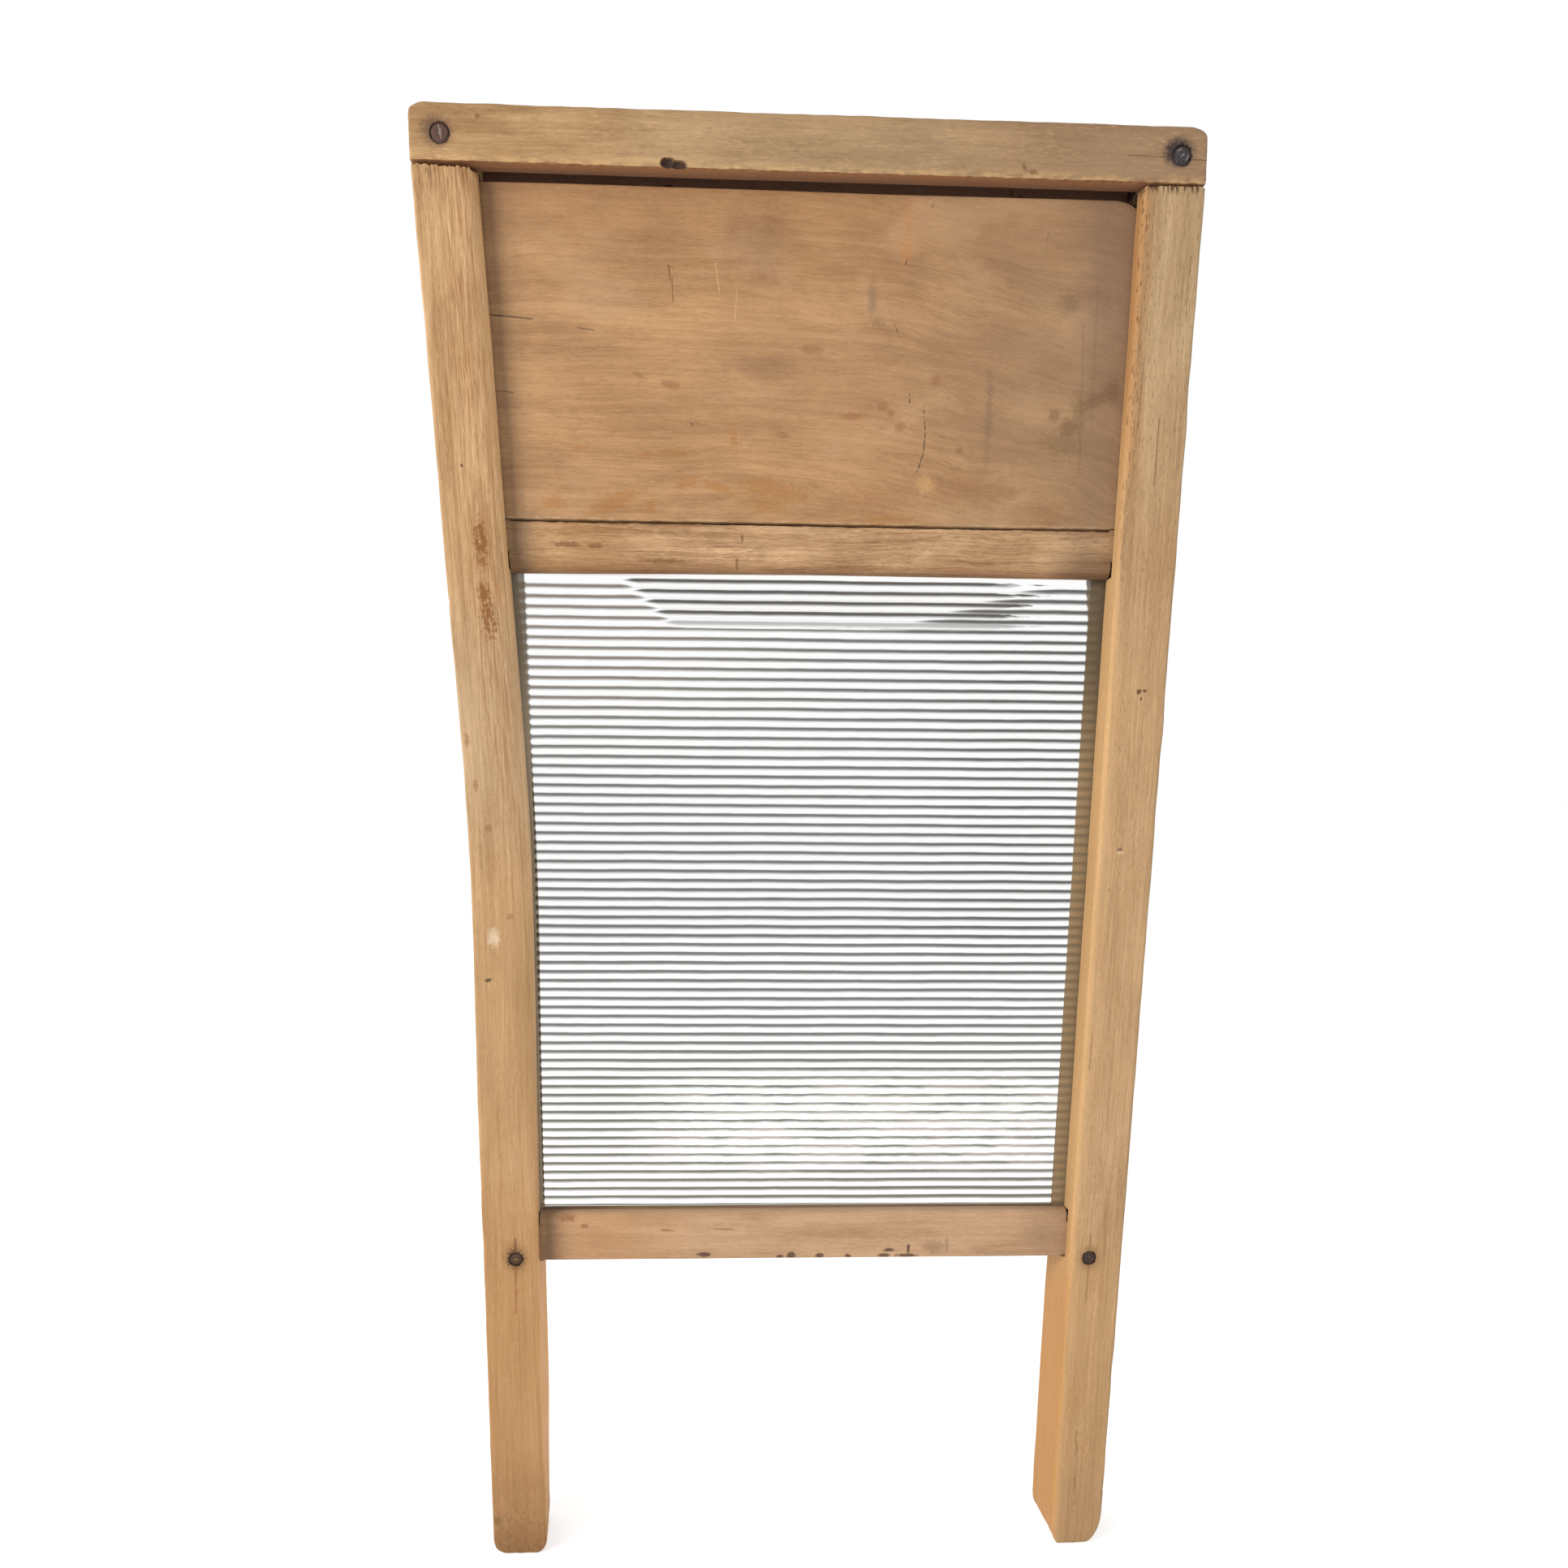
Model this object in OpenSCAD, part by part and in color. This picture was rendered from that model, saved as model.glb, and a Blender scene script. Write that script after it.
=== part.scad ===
// Household washboard: a grooved wooden frame on two legs, with a plain soap
// board above and a ribbed pressed-glass rubbing panel below.
// X runs to the right, Y from the front to the back and Z up. The origin is at
// floor level, in the middle of the overall width and of the frame's depth.

/* [Frame] */
// Height from the feet to the top of the top rail
frame_h = 632; // [560:1:700]
// Width over the top rail
top_w = 318; // [306:1:326]
// Width over the feet; the left stile has bent outwards above them
foot_w = 305; // [298:1:306]
// Depth of the stiles and the top rail, front to back
frame_d = 31; // [27:0.5:38]
// Width of a stile, seen from the front
stile_w = 26; // [22:0.5:32]
// Height at which the left stile starts to bend outwards
bend_z = 365; // [280:5:420]
// Length over which that bend eases in
bend_len = 40; // [10:5:80]
// Rounding of the feet's bottom corners
foot_r = 5; // [1:0.5:7]

/* [Rails and board] */
// Height of the top rail
top_rail_h = 21; // [18:0.5:26]
// Rounding of the top rail's two upper ends
rail_end_r = 3.5; // [1:0.5:6]
// Setback of the board and the lower rails behind the frame's front
board_inset = 6.6; // [5:0.1:7.5]
// Thickness of the soap board
board_t = 10.4; // [8:0.1:11]
// Gap between the soap board's top edge and the top rail
board_drop = 2.6; // [1:0.1:4]
// Rounding of the soap board's top right corner
board_corner_r = 16; // [4:1:24]
// Height of the seam between the soap board and the middle rail
seam_z = 482; // [470:1:500]
// Height of the middle rail
mid_rail_h = 19.2; // [16:0.1:24]
// Height of the bottom rail's lower edge, which is the length of the legs
leg_h = 151.4; // [130:0.2:170]
// Height of the bottom rail
bottom_rail_h = 24; // [21:0.5:26]
// Thickness of the middle and the bottom rail
rail_t = 18; // [16:0.5:20]
// Rounding of the two rail edges that face the glass
rail_edge_r = 4; // [2:0.2:5.2]

/* [Joints] */
// Depth of the grooves in the stiles
groove_depth = 8; // [6:0.5:10]
// Play between a groove's wall and what it holds
groove_play = 0.2; // [0.1:0.05:0.3]
// How far the glass goes into the middle and the bottom rail
glass_hold = 6.5; // [5:0.5:7]
// How much the lip behind the glass falls short of the lip in front of it
back_lip_drop = 3.4; // [0:0.2:3.4]
// Length of the tenons on the bottom rail
rail_tenon = 16; // [12:0.5:18]
// Height of the tenons on top of the stiles
stile_tenon = 16; // [10:0.5:18]

/* [Glass] */
// Setback of the glass ribs behind the frame's front
glass_inset = 12; // [11.7:0.1:13]
// Thickness of the glass over its ribs
glass_t = 5; // [4:0.1:5]
// Distance from one rib to the next
rib_pitch = 4.19; // [4.1:0.01:4.2]
// Number of ribs
rib_count = 68; // [30:1:68]
// Height of a rib above the valley beside it
rib_h = 1.1; // [0.5:0.1:1.4]
// Distance from the middle rail's edge down to the first rib
rib_start = 1.3; // [0.5:0.1:1.8]

/* [Nails] */
// Head diameter of the nails in the top rail
top_head_d = 7.4; // [5:0.1:9]
// Head diameter of the nails in the legs
leg_head_d = 6.2; // [5:0.1:8]
// Thickness of a nail's head
head_t = 1.2; // [0.8:0.1:2]
// Diameter of a nail's shank
shank_d = 2.8; // [2:0.1:3.4]
// Length of a nail
nail_len = 28; // [22:1:30]
// Length of a nail's tapered point
nail_point = 4; // [2:0.5:6]

/* [Hidden] */
$fn = 48;

LEFT = -1;
RIGHT = 1;
stile_wood = "#c8a273";
rail_wood = "#c2a074";
board_wood = "#b48a62";
glass_color = "#cfd8d4";
iron = "#4a3b36";

front_y = -frame_d / 2;
shoulder_z = frame_h - top_rail_h;
mid_rail_z = seam_z - mid_rail_h;
glass_foot_z = leg_h + bottom_rail_h;
board_top_z = shoulder_z - board_drop;

// Depths of the shared groove, measured from the front of the frame
groove_front = board_inset - groove_play;
glass_groove_front = glass_inset - groove_play;
groove_back = max(board_inset + board_t, glass_inset + glass_t) + groove_play;

// Play left at the bottom of a groove or mortise
end_play = 0.5;
hold_depth = groove_depth - end_play;

lean_total = top_w - foot_w;
rib_steps = 6;
corner_steps = 6;
overcut = 1;

// Outward bend of the left stile at height z: none near the feet, then a
// straight lean that reaches the whole difference in width at the shoulder
function ramp(z) = (z - bend_z + sqrt(pow(z - bend_z, 2) + pow(bend_len, 2))) / 2;
function lean(z) = lean_total * ramp(z) / ramp(shoulder_z);

// Left and right edges of a stile at height z, seen from the front
function low_x(side, z) = side == RIGHT ? top_w / 2 - stile_w : top_w / 2 - foot_w - lean(z);
function high_x(side, z) = low_x(side, z) + stile_w;

// Heights at which a stile's outline has a point, above its rounded foot
function stations(side) = side == RIGHT ? [shoulder_z] :
    [for (i = [0:10]) bend_z - 2 * bend_len + i * (shoulder_z - bend_z + 2 * bend_len) / 10];

function reversed(list) = [for (i = [len(list) - 1:-1:0]) list[i]];

// Quarter circle round [x, foot_r], from angle a0 to a0 + 90
function foot_arc(x, a0) = [for (i = [0:corner_steps])
    let (a = a0 + 90 * i / corner_steps)
    [x + foot_r * cos(a), foot_r + foot_r * sin(a)]];

// Depth of the glass face at a drop below the first valley: round ridges with
// narrow valleys between them
function valley_depth(drop) = rib_h * (1 - abs(sin(180 * drop / rib_pitch)));

// Extrudes an outline drawn in X and Z between two depths behind the front
module plank(d0, d1) {
    translate([0, front_y + d1, 0])
        rotate([90, 0, 0])
            linear_extrude(d1 - d0)
                children();
}

// Extrudes a section drawn in Y and Z from x0 to x1
module moulding(x0, x1) {
    translate([x0, 0, 0])
        rotate([90, 0, 90])
            linear_extrude(x1 - x0)
                children();
}

// Plain block between two corners, with Y as a depth behind the front
module block(x0, x1, d0, d1, z0, z1) {
    translate([x0, front_y + d0, z0])
        cube([x1 - x0, d1 - d0, z1 - z0]);
}

module stile_outline(side) {
    polygon(concat(
        foot_arc(low_x(side, 0) + foot_r, 180),
        foot_arc(high_x(side, 0) - foot_r, 270),
        [for (z = stations(side)) [high_x(side, z), z]],
        [for (z = reversed(stations(side))) [low_x(side, z), z]]
    ));
}

// Groove along the inner side of a stile between two heights
module stile_groove(side, d0, z0, z1) {
    heights = concat([z0], [for (z = stations(side)) if (z > z0 && z < z1) z], [z1]);
    inner = side == RIGHT ? 0 : stile_w;
    plank(d0, groove_back)
        polygon(concat(
            [for (z = heights) [low_x(side, z) + inner + side * groove_depth, z]],
            [for (z = reversed(heights)) [low_x(side, z) + inner - side * overcut, z]]
        ));
}

module stile(side) {
    difference() {
        union() {
            plank(0, frame_d)
                stile_outline(side);
            block(low_x(side, shoulder_z), high_x(side, shoulder_z),
                board_inset, board_inset + board_t,
                shoulder_z - overcut, shoulder_z + stile_tenon);
        }
        stile_groove(side, glass_groove_front, glass_foot_z - overcut, mid_rail_z + overcut);
        stile_groove(side, groove_front, mid_rail_z, shoulder_z);
        rail_mortise(side);
        nails();
    }
}

// Mortise in a stile for the bottom rail's tenon
module rail_mortise(side) {
    inner_x = side == RIGHT ? low_x(side, leg_h) : high_x(side, leg_h);
    far_x = inner_x + side * rail_tenon;
    near_x = inner_x - side * overcut;
    block(min(far_x, near_x), max(far_x, near_x),
        groove_front, groove_back, leg_h, glass_foot_z);
}

module left_stile() {
    color(stile_wood) stile(LEFT);
}

module right_stile() {
    color(stile_wood) stile(RIGHT);
}

// The top rail caps both stiles, and a groove along its underside takes their
// tenons and the edge of the soap board
module top_rail() {
    half_w = top_w / 2;
    color(rail_wood)
        difference() {
            plank(0, frame_d)
                union() {
                    translate([-half_w, shoulder_z])
                        square([top_w, top_rail_h - rail_end_r]);
                    translate([rail_end_r - half_w, shoulder_z])
                        square([top_w - 2 * rail_end_r, top_rail_h]);
                    for (side = [LEFT, RIGHT])
                        translate([side * (half_w - rail_end_r), frame_h - rail_end_r])
                            circle(rail_end_r);
                }
            block(-half_w - overcut, half_w + overcut, groove_front, groove_back,
                shoulder_z - overcut, shoulder_z + stile_tenon + end_play);
            nails();
        }
}

// The soap board slides in the stiles' grooves and rests on the middle rail
module soap_board() {
    left_x = high_x(LEFT, seam_z) - hold_depth;
    right_x = low_x(RIGHT, seam_z) + hold_depth;
    color(board_wood)
        plank(board_inset, board_inset + board_t)
            union() {
                translate([left_x, seam_z])
                    square([right_x - left_x, board_top_z - seam_z - board_corner_r]);
                translate([left_x, seam_z])
                    square([right_x - left_x - board_corner_r, board_top_z - seam_z]);
                translate([right_x - board_corner_r, board_top_z - board_corner_r])
                    circle(board_corner_r);
            }
}

// Cross-section of a lower rail in Y and Z: edge_z is the height of its edge
// on the glass, away is +1 or -1 for the side of that edge the rail lies on
module rail_section(edge_z, height, away) {
    round_z = edge_z + away * rail_edge_r;
    far_z = edge_z + away * height;
    front = front_y + board_inset;
    difference() {
        union() {
            translate([front, min(round_z, far_z)])
                square([rail_t, height - rail_edge_r]);
            translate([front + rail_edge_r, min(edge_z, far_z)])
                square([rail_t - rail_edge_r, height]);
            translate([front + rail_edge_r, round_z])
                circle(rail_edge_r);
        }
        translate([front_y + glass_groove_front, edge_z - (away > 0 ? overcut : glass_hold)])
            square([groove_back - glass_groove_front, glass_hold + overcut]);
        translate([front_y + groove_back - overcut, edge_z - (away > 0 ? overcut : back_lip_drop)])
            square([rail_t, back_lip_drop + overcut]);
    }
}

// The part of a rail between the stiles' inner sides
module between_stiles(z0, z1) {
    plank(0, frame_d)
        polygon([[high_x(LEFT, z0), z0], [low_x(RIGHT, z0), z0],
            [low_x(RIGHT, z1), z1], [high_x(LEFT, z1), z1]]);
}

// The middle rail closes the soap board's recess and holds the glass's top edge
module mid_rail() {
    color(rail_wood)
        union() {
            intersection() {
                moulding(-top_w / 2, top_w / 2)
                    rail_section(mid_rail_z, mid_rail_h, 1);
                between_stiles(mid_rail_z, seam_z);
            }
            rail_tenons(mid_rail_z + glass_hold, seam_z, hold_depth);
        }
}

// The bottom rail ties the legs together and carries the glass
module bottom_rail() {
    color(rail_wood)
        difference() {
            union() {
                intersection() {
                    moulding(-top_w / 2, top_w / 2)
                        rail_section(glass_foot_z, bottom_rail_h, -1);
                    between_stiles(leg_h, glass_foot_z);
                }
                rail_tenons(leg_h, glass_foot_z - glass_hold, rail_tenon - end_play);
            }
            nails();
        }
}

// Tenons on both ends of a lower rail, between two heights
module rail_tenons(z0, z1, length) {
    left_x = high_x(LEFT, z1);
    right_x = low_x(RIGHT, z1);
    block(left_x - length, left_x + overcut, board_inset, board_inset + board_t, z0, z1);
    block(right_x - overcut, right_x + length, board_inset, board_inset + board_t, z0, z1);
}

// Pressed glass with the same ribs on both faces and a flat border
module glass_panel() {
    left_x = high_x(LEFT, glass_foot_z) - hold_depth;
    right_x = low_x(RIGHT, glass_foot_z) + hold_depth;
    low_z = glass_foot_z - glass_hold;
    high_z = mid_rail_z + glass_hold;
    first_z = mid_rail_z - rib_start;
    drops = [for (i = [0:rib_count * rib_steps]) i * rib_pitch / rib_steps];
    face_y = front_y + glass_inset;
    color(glass_color, 0.6)
        moulding(left_x, right_x)
            polygon(concat(
                [[face_y + rib_h, high_z]],
                [for (drop = drops) [face_y + valley_depth(drop), first_z - drop]],
                [[face_y + rib_h, low_z], [face_y + glass_t - rib_h, low_z]],
                [for (drop = reversed(drops))
                    [face_y + glass_t - valley_depth(drop), first_z - drop]],
                [[face_y + glass_t - rib_h, high_z]]
            ));
}

// A wire nail driven in from the front, its head flush with the wood
module nail(x, z, head_d) {
    translate([x, front_y, z])
        rotate([-90, 0, 0])
            union() {
                cylinder(d = head_d, h = head_t);
                cylinder(d = shank_d, h = nail_len - nail_point);
                translate([0, 0, nail_len - nail_point])
                    cylinder(d1 = shank_d, d2 = shank_d / 4, h = nail_point);
            }
}

module nail_top_left() {
    color(iron) nail(-top_w / 2 + 12.2, frame_h - 11.3, top_head_d);
}

module nail_top_right() {
    color(iron) nail(top_w / 2 - 11.1, frame_h - 10.9, top_head_d);
}

module nail_leg_left() {
    color(iron) nail(low_x(LEFT, leg_h) + 15.6, leg_h + 3.6, leg_head_d);
}

module nail_leg_right() {
    color(iron) nail(top_w / 2 - 16.4, leg_h + 1.8, leg_head_d);
}

// All four nails, taken out of the wood they are driven through
module nails() {
    nail_top_left();
    nail_top_right();
    nail_leg_left();
    nail_leg_right();
}

left_stile();
right_stile();
top_rail();
soap_board();
mid_rail();
bottom_rail();
glass_panel();
nail_top_left();
nail_top_right();
nail_leg_left();
nail_leg_right();
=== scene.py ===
# Looks of an old wooden washboard with a ribbed glass rubbing panel, built round
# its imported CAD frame. Lengths are in millimetres until a mesh is finished.
import math

import bmesh
import bpy
from mathutils import Matrix, Vector, noise


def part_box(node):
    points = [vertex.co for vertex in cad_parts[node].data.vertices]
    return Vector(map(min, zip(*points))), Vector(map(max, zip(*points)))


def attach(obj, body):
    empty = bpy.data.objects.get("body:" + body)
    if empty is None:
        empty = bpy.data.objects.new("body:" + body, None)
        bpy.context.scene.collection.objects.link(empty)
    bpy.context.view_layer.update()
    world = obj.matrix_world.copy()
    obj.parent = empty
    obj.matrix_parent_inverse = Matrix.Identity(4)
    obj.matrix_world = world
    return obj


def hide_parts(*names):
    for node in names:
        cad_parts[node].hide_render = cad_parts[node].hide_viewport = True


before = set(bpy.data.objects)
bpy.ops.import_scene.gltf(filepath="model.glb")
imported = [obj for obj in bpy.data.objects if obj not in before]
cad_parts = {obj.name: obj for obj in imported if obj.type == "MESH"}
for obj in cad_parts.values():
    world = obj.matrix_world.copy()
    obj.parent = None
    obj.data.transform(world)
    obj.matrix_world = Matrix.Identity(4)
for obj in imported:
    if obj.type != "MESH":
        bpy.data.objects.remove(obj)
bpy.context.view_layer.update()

MM = 0.001
LEFT = -1
RIGHT = 1


def span(node):
    """Lowest and highest corner of a CAD node, in millimetres."""
    low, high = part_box(node)
    return low / MM, high / MM


def clamp(value, low=0.0, high=1.0):
    return max(low, min(high, value))


def fade(value, start, stop):
    """0 before start, 1 after stop and smooth between them, in either direction."""
    t = clamp((value - start) / (stop - start))
    return t * t * (3 - 2 * t)


# ---------------------------------------------------------------- frame sizes
RAIL_LOW, RAIL_HIGH = span("top_rail")
RIGHT_LOW, RIGHT_HIGH = span("right_stile")
LEFT_LOW, LEFT_HIGH = span("left_stile")
BOARD_LOW, BOARD_HIGH = span("soap_board")
MID_LOW = span("mid_rail")[0]
BOTTOM_LOW, BOTTOM_HIGH = span("bottom_rail")
GLASS_LOW, GLASS_HIGH = span("glass_panel")

FRONT = RAIL_LOW.y
BACK = RAIL_HIGH.y
TOP = RAIL_HIGH.z
SHOULDER = RAIL_LOW.z
RIGHT_INNER = RIGHT_LOW.x
STILE_W = RIGHT_HIGH.x - RIGHT_LOW.x
LEFT_INNER = LEFT_HIGH.x
LEFT_OUTER = LEFT_INNER - STILE_W
LEAN_TOTAL = LEFT_OUTER - LEFT_LOW.x
SEAM = BOARD_LOW.z
RECESS = BOARD_LOW.y

# Bend of the left stile as in the CAD source, and a slight bow added to it
BEND_Z = 365.0
BEND_LEN = 40.0
BOW = 0.9
BOW_Z = 325.0
BOW_LEN = 75.0
# Grooves, joints and ribs, as in the CAD source
GROOVE_DEPTH = 8.0
PLAY = 0.2
GLASS_HOLD = 6.5
BACK_LIP_DROP = 3.4
TENON_H = 16.0
RAIL_TENON = 15.5
MORTISE_END = 0.5
BOARD_CORNER_R = 16.0
RAIL_EDGE_R = 4.0
RIB_PITCH = 4.19
RIB_COUNT = 68
RIB_H = 1.1
RIB_START = 1.3
FIRST_RIB = MID_LOW.z - RIB_START
GROOVE_BACK = max(BOARD_HIGH.y, GLASS_HIGH.y) + PLAY


def ramp(z):
    rise = z - BEND_Z
    return (rise + math.hypot(rise, BEND_LEN)) / 2


def lean(z):
    """How far the left stile has bent outwards at height z. It bows slightly inwards
    beside the glass."""
    bow = BOW * math.exp(-((z - BOW_Z) / BOW_LEN) ** 2) * clamp((SHOULDER - z) / BOW_LEN)
    return LEAN_TOTAL * ramp(z) / ramp(SHOULDER) - bow


def inner_x(side, z):
    """Inner face of a stile at height z."""
    return RIGHT_INNER if side == RIGHT else LEFT_INNER - lean(z)


# ---------------------------------------------------------------- mesh making
def section(low, high, radii, counts, arc=5):
    """Closed outline of a rectangle with a radius at each corner and counts of
    steps along its straight sides, anticlockwise from its lowest corner."""
    (u0, v0), (u1, v1) = low, high
    corners = [(u0, v0, 1, 1, 180), (u1, v0, -1, 1, 270),
               (u1, v1, -1, -1, 0), (u0, v1, 1, -1, 90)]
    arcs = []
    for (u, v, su, sv, start), r in zip(corners, radii):
        turn = [math.radians(start + 90 * k / arc) for k in range(arc + 1)]
        arcs.append([(u + su * r + r * math.cos(a), v + sv * r + r * math.sin(a)) for a in turn])
    points = []
    for i, count in enumerate(counts):
        (ua, va), (ub, vb) = arcs[i][-1], arcs[(i + 1) % 4][0]
        points += arcs[i]
        points += [(ua + (ub - ua) * k / count, va + (vb - va) * k / count)
                   for k in range(1, count)]
    return points


def stations(start, stop, step, ease, core):
    """(position, inset) of each section along a piece whose ends are eased by a
    quarter circle and closed by shrinking sections down to the inset core."""
    caps = [(0.0, core * k / 4 + ease * (1 - k / 4)) for k in (4, 3, 2, 1)]
    turn = [math.radians(a) for a in (90, 60, 30, 0)]
    caps += [(ease * (1 - math.sin(a)), ease * (1 - math.cos(a))) for a in turn]
    count = max(2, round((stop - start - 2 * ease) / step))
    body = [(start + ease + (stop - start - 2 * ease) * k / count, 0.0) for k in range(1, count)]
    head = [(start + position, inset) for position, inset in caps]
    tail = [(stop - position, inset) for position, inset in reversed(caps)]
    return head + body + tail


def loft(rings):
    """Closed bmesh through equal rings of points, with a face over each end."""
    bm = bmesh.new()
    grid = [[bm.verts.new(point) for point in ring] for ring in rings]
    for a, b in zip(grid, grid[1:]):
        for i in range(len(a)):
            j = (i + 1) % len(a)
            bm.faces.new((a[i], a[j], b[j], b[i]))
    bm.faces.new(grid[0])
    bm.faces.new(grid[-1])
    bmesh.ops.recalc_face_normals(bm, faces=bm.faces)
    bm.normal_update()
    return bm


def wear_down(bm, amount):
    """Moves each vertex inwards by amount(position), in millimetres."""
    moves = [(v, v.normal * amount(v.co)) for v in bm.verts]
    for v, move in moves:
        v.co -= move


def as_object(bm, name):
    mesh = bpy.data.meshes.new(name)
    bm.to_mesh(mesh)
    bm.free()
    piece = bpy.data.objects.new(name, mesh)
    bpy.context.scene.collection.objects.link(piece)
    return piece


def block(low, high):
    """Plain cutter or tenon between two corners."""
    bm = bmesh.new()
    bmesh.ops.create_cube(bm, size=1.0)
    for v in bm.verts:
        v.co = Vector([low[k] if v.co[k] < 0 else high[k] for k in range(3)])
    bmesh.ops.recalc_face_normals(bm, faces=bm.faces)
    return as_object(bm, "block")


def prism(outline, y0, y1):
    """Outline in X and Z, extruded from y0 to y1."""
    return as_object(loft([[(x, y, z) for x, z in outline] for y in (y0, y1)]), "prism")


def pebble(centre, radii, seed, roughness=0.25):
    """Uneven ellipsoid that cuts a dent or chip."""
    bm = bmesh.new()
    bmesh.ops.create_icosphere(bm, subdivisions=3, radius=1.0)
    for v in bm.verts:
        swell = 1 + roughness * noise.noise(v.co * 1.7 + Vector((seed, 0, 0)))
        v.co = Vector([centre[k] + v.co[k] * radii[k] * swell for k in range(3)])
    return as_object(bm, "pebble")


def combine(piece, operation, tools):
    """Cuts the tools out of a piece, or joins them to it, and removes them."""
    for tool in tools:
        modifier = piece.modifiers.new("combine", "BOOLEAN")
        modifier.operation = operation
        modifier.solver = "MANIFOLD"
        modifier.object = tool
    bpy.context.view_layer.update()
    graph = bpy.context.evaluated_depsgraph_get()
    mesh = bpy.data.meshes.new_from_object(piece.evaluated_get(graph))
    piece.modifiers.clear()
    piece.data = mesh
    for tool in tools:
        bpy.data.objects.remove(tool)


def finish_mesh(piece, sharp_angle=40.0, straighten=None):
    """Scales a piece to metres, shades it smooth up to sharp_angle and stores the
    place in the wood that each vertex has, with any bend taken out of it."""
    mesh = piece.data
    places = []
    for v in mesh.vertices:
        place = v.co.copy()
        if straighten:
            place.x += straighten(place.z)
        places.extend(place)
    attribute = mesh.attributes.new("grain", "FLOAT_VECTOR", "POINT")
    attribute.data.foreach_set("vector", places)
    mesh.transform(Matrix.Scale(MM, 4))
    mesh.shade_smooth()
    mesh.set_sharp_from_angle(angle=math.radians(sharp_angle))


def waves(p, size, seed=0.0):
    """Smooth noise from 0 to 1 with its feature size along X, Y and Z. Each use has its
    own seed."""
    q = Vector((p.x / size[0] + seed, p.y / size[1] - seed, p.z / size[2] + 2 * seed))
    return clamp(0.5 + 0.7 * noise.noise(q))


# ---------------------------------------------------------------- wooden pieces
STILE_STEP = 3.0
STILE_EASE = 0.9
STILE_CORE = 11.0
FOOT_BLEND = 36.0
TEAR_BLEND = 7.0
TENON_EASE = 0.4
TENON_ROOT = 4.0

# Roundings of the feet, as (width, height) at their outer and inner side
FOOT_CORNERS = {LEFT: ((6.6, 7.4), (5.8, 9.0)), RIGHT: ((8.6, 22.0), (4.2, 12.0))}
# Shift of a foot's inner side towards its outer side, at its front and its back
FOOT_TAPER = {LEFT: (-1.2, 1.6), RIGHT: (0.3, 0.3)}
TAPER_Z = {LEFT: 90.0, RIGHT: 24.0}
# Radii of a stile's edges: front outer, front inner, back inner, back outer
STILE_EDGES = {LEFT: (1.5, 3.6, 1.4, 1.4), RIGHT: (1.8, 2.4, 1.8, 1.4)}
TORN_TOP = {LEFT: 1.7, RIGHT: 0.7}


def corner_rise(distance, width, height):
    """Height of a rounded foot at a distance in from its side."""
    t = clamp(1 - distance / width)
    return height * (1 - math.sqrt(1 - t * t))


def torn(side, x, y):
    """How far the torn fibres of a stile's top end stop short of the rail."""
    depth = y - FRONT
    fibre = waves(Vector((x, y, 0)), (0.55, 1.6, 1), 3.7 * side)
    tuft = waves(Vector((x, y, 0)), (2.6, 5.0, 1), 9.1 * side)
    ragged = TORN_TOP[side] * (0.15 + 0.55 * fibre * fibre + 0.6 * tuft * fibre)
    if side == LEFT:
        ragged += 1.6 * fade(x, LEFT_INNER - 3.6, LEFT_INNER - 0.2)
        ragged += 0.5 * fade(x, LEFT_OUTER + 6, LEFT_INNER)
    return ragged * fade(depth, RECESS - FRONT - 1.0, 2.0)


def stile_point(side, p):
    """Moves a point of a straight stile to its place: foot, torn top and bend."""
    outer = LEFT_OUTER if side == LEFT else RIGHT_INNER + STILE_W
    inner = LEFT_INNER if side == LEFT else RIGHT_INNER
    (ow, oh), (iw, ih) = FOOT_CORNERS[side]
    x, y, z = p
    rise = corner_rise(abs(x - outer), ow, oh) + corner_rise(abs(x - inner), iw, ih)
    rise += 0.5 * waves(p, (5, 5, 50), 4.0 + side)
    low = fade(z, FOOT_BLEND, 0)
    inward = (x - outer) / (inner - outer)
    front_taper, back_taper = FOOT_TAPER[side]
    depth = (y - FRONT) / (BACK - FRONT)
    taper = front_taper + (back_taper - front_taper) * depth
    x += side * taper * inward * fade(z, TAPER_Z[side], 4)
    top = fade(z, SHOULDER - TEAR_BLEND, SHOULDER)
    z = z + rise * low - torn(side, x, y) * top
    if side == LEFT:
        x -= lean(z)
    return Vector((x, y, z))


def stile_wear(side):
    def amount(p):
        grain_x = p.x + (lean(p.z) if side == LEFT else 0)
        q = Vector((grain_x, p.y, p.z))
        dip = 0.30 * waves(q, (9, 9, 70), 1.0 + side) + 0.16 * waves(q, (1.3, 1.3, 22), 5.0 + side)
        hard = waves(q, (0.8, 0.8, 30), 11.0 + side)
        return dip + 0.14 * hard * hard
    return amount


def stile_groove(side, y0, z0, z1):
    """Cutter for the groove along a stile's inner side between two heights."""
    steps = 12
    heights = [z0 + (z1 - z0) * k / steps for k in range(steps + 1)]
    deep = [(inner_x(side, z) + side * GROOVE_DEPTH, z) for z in heights]
    open_side = [(inner_x(side, z) - side * 4, z) for z in reversed(heights)]
    return prism(deep + open_side, y0, GROOVE_BACK)


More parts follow.
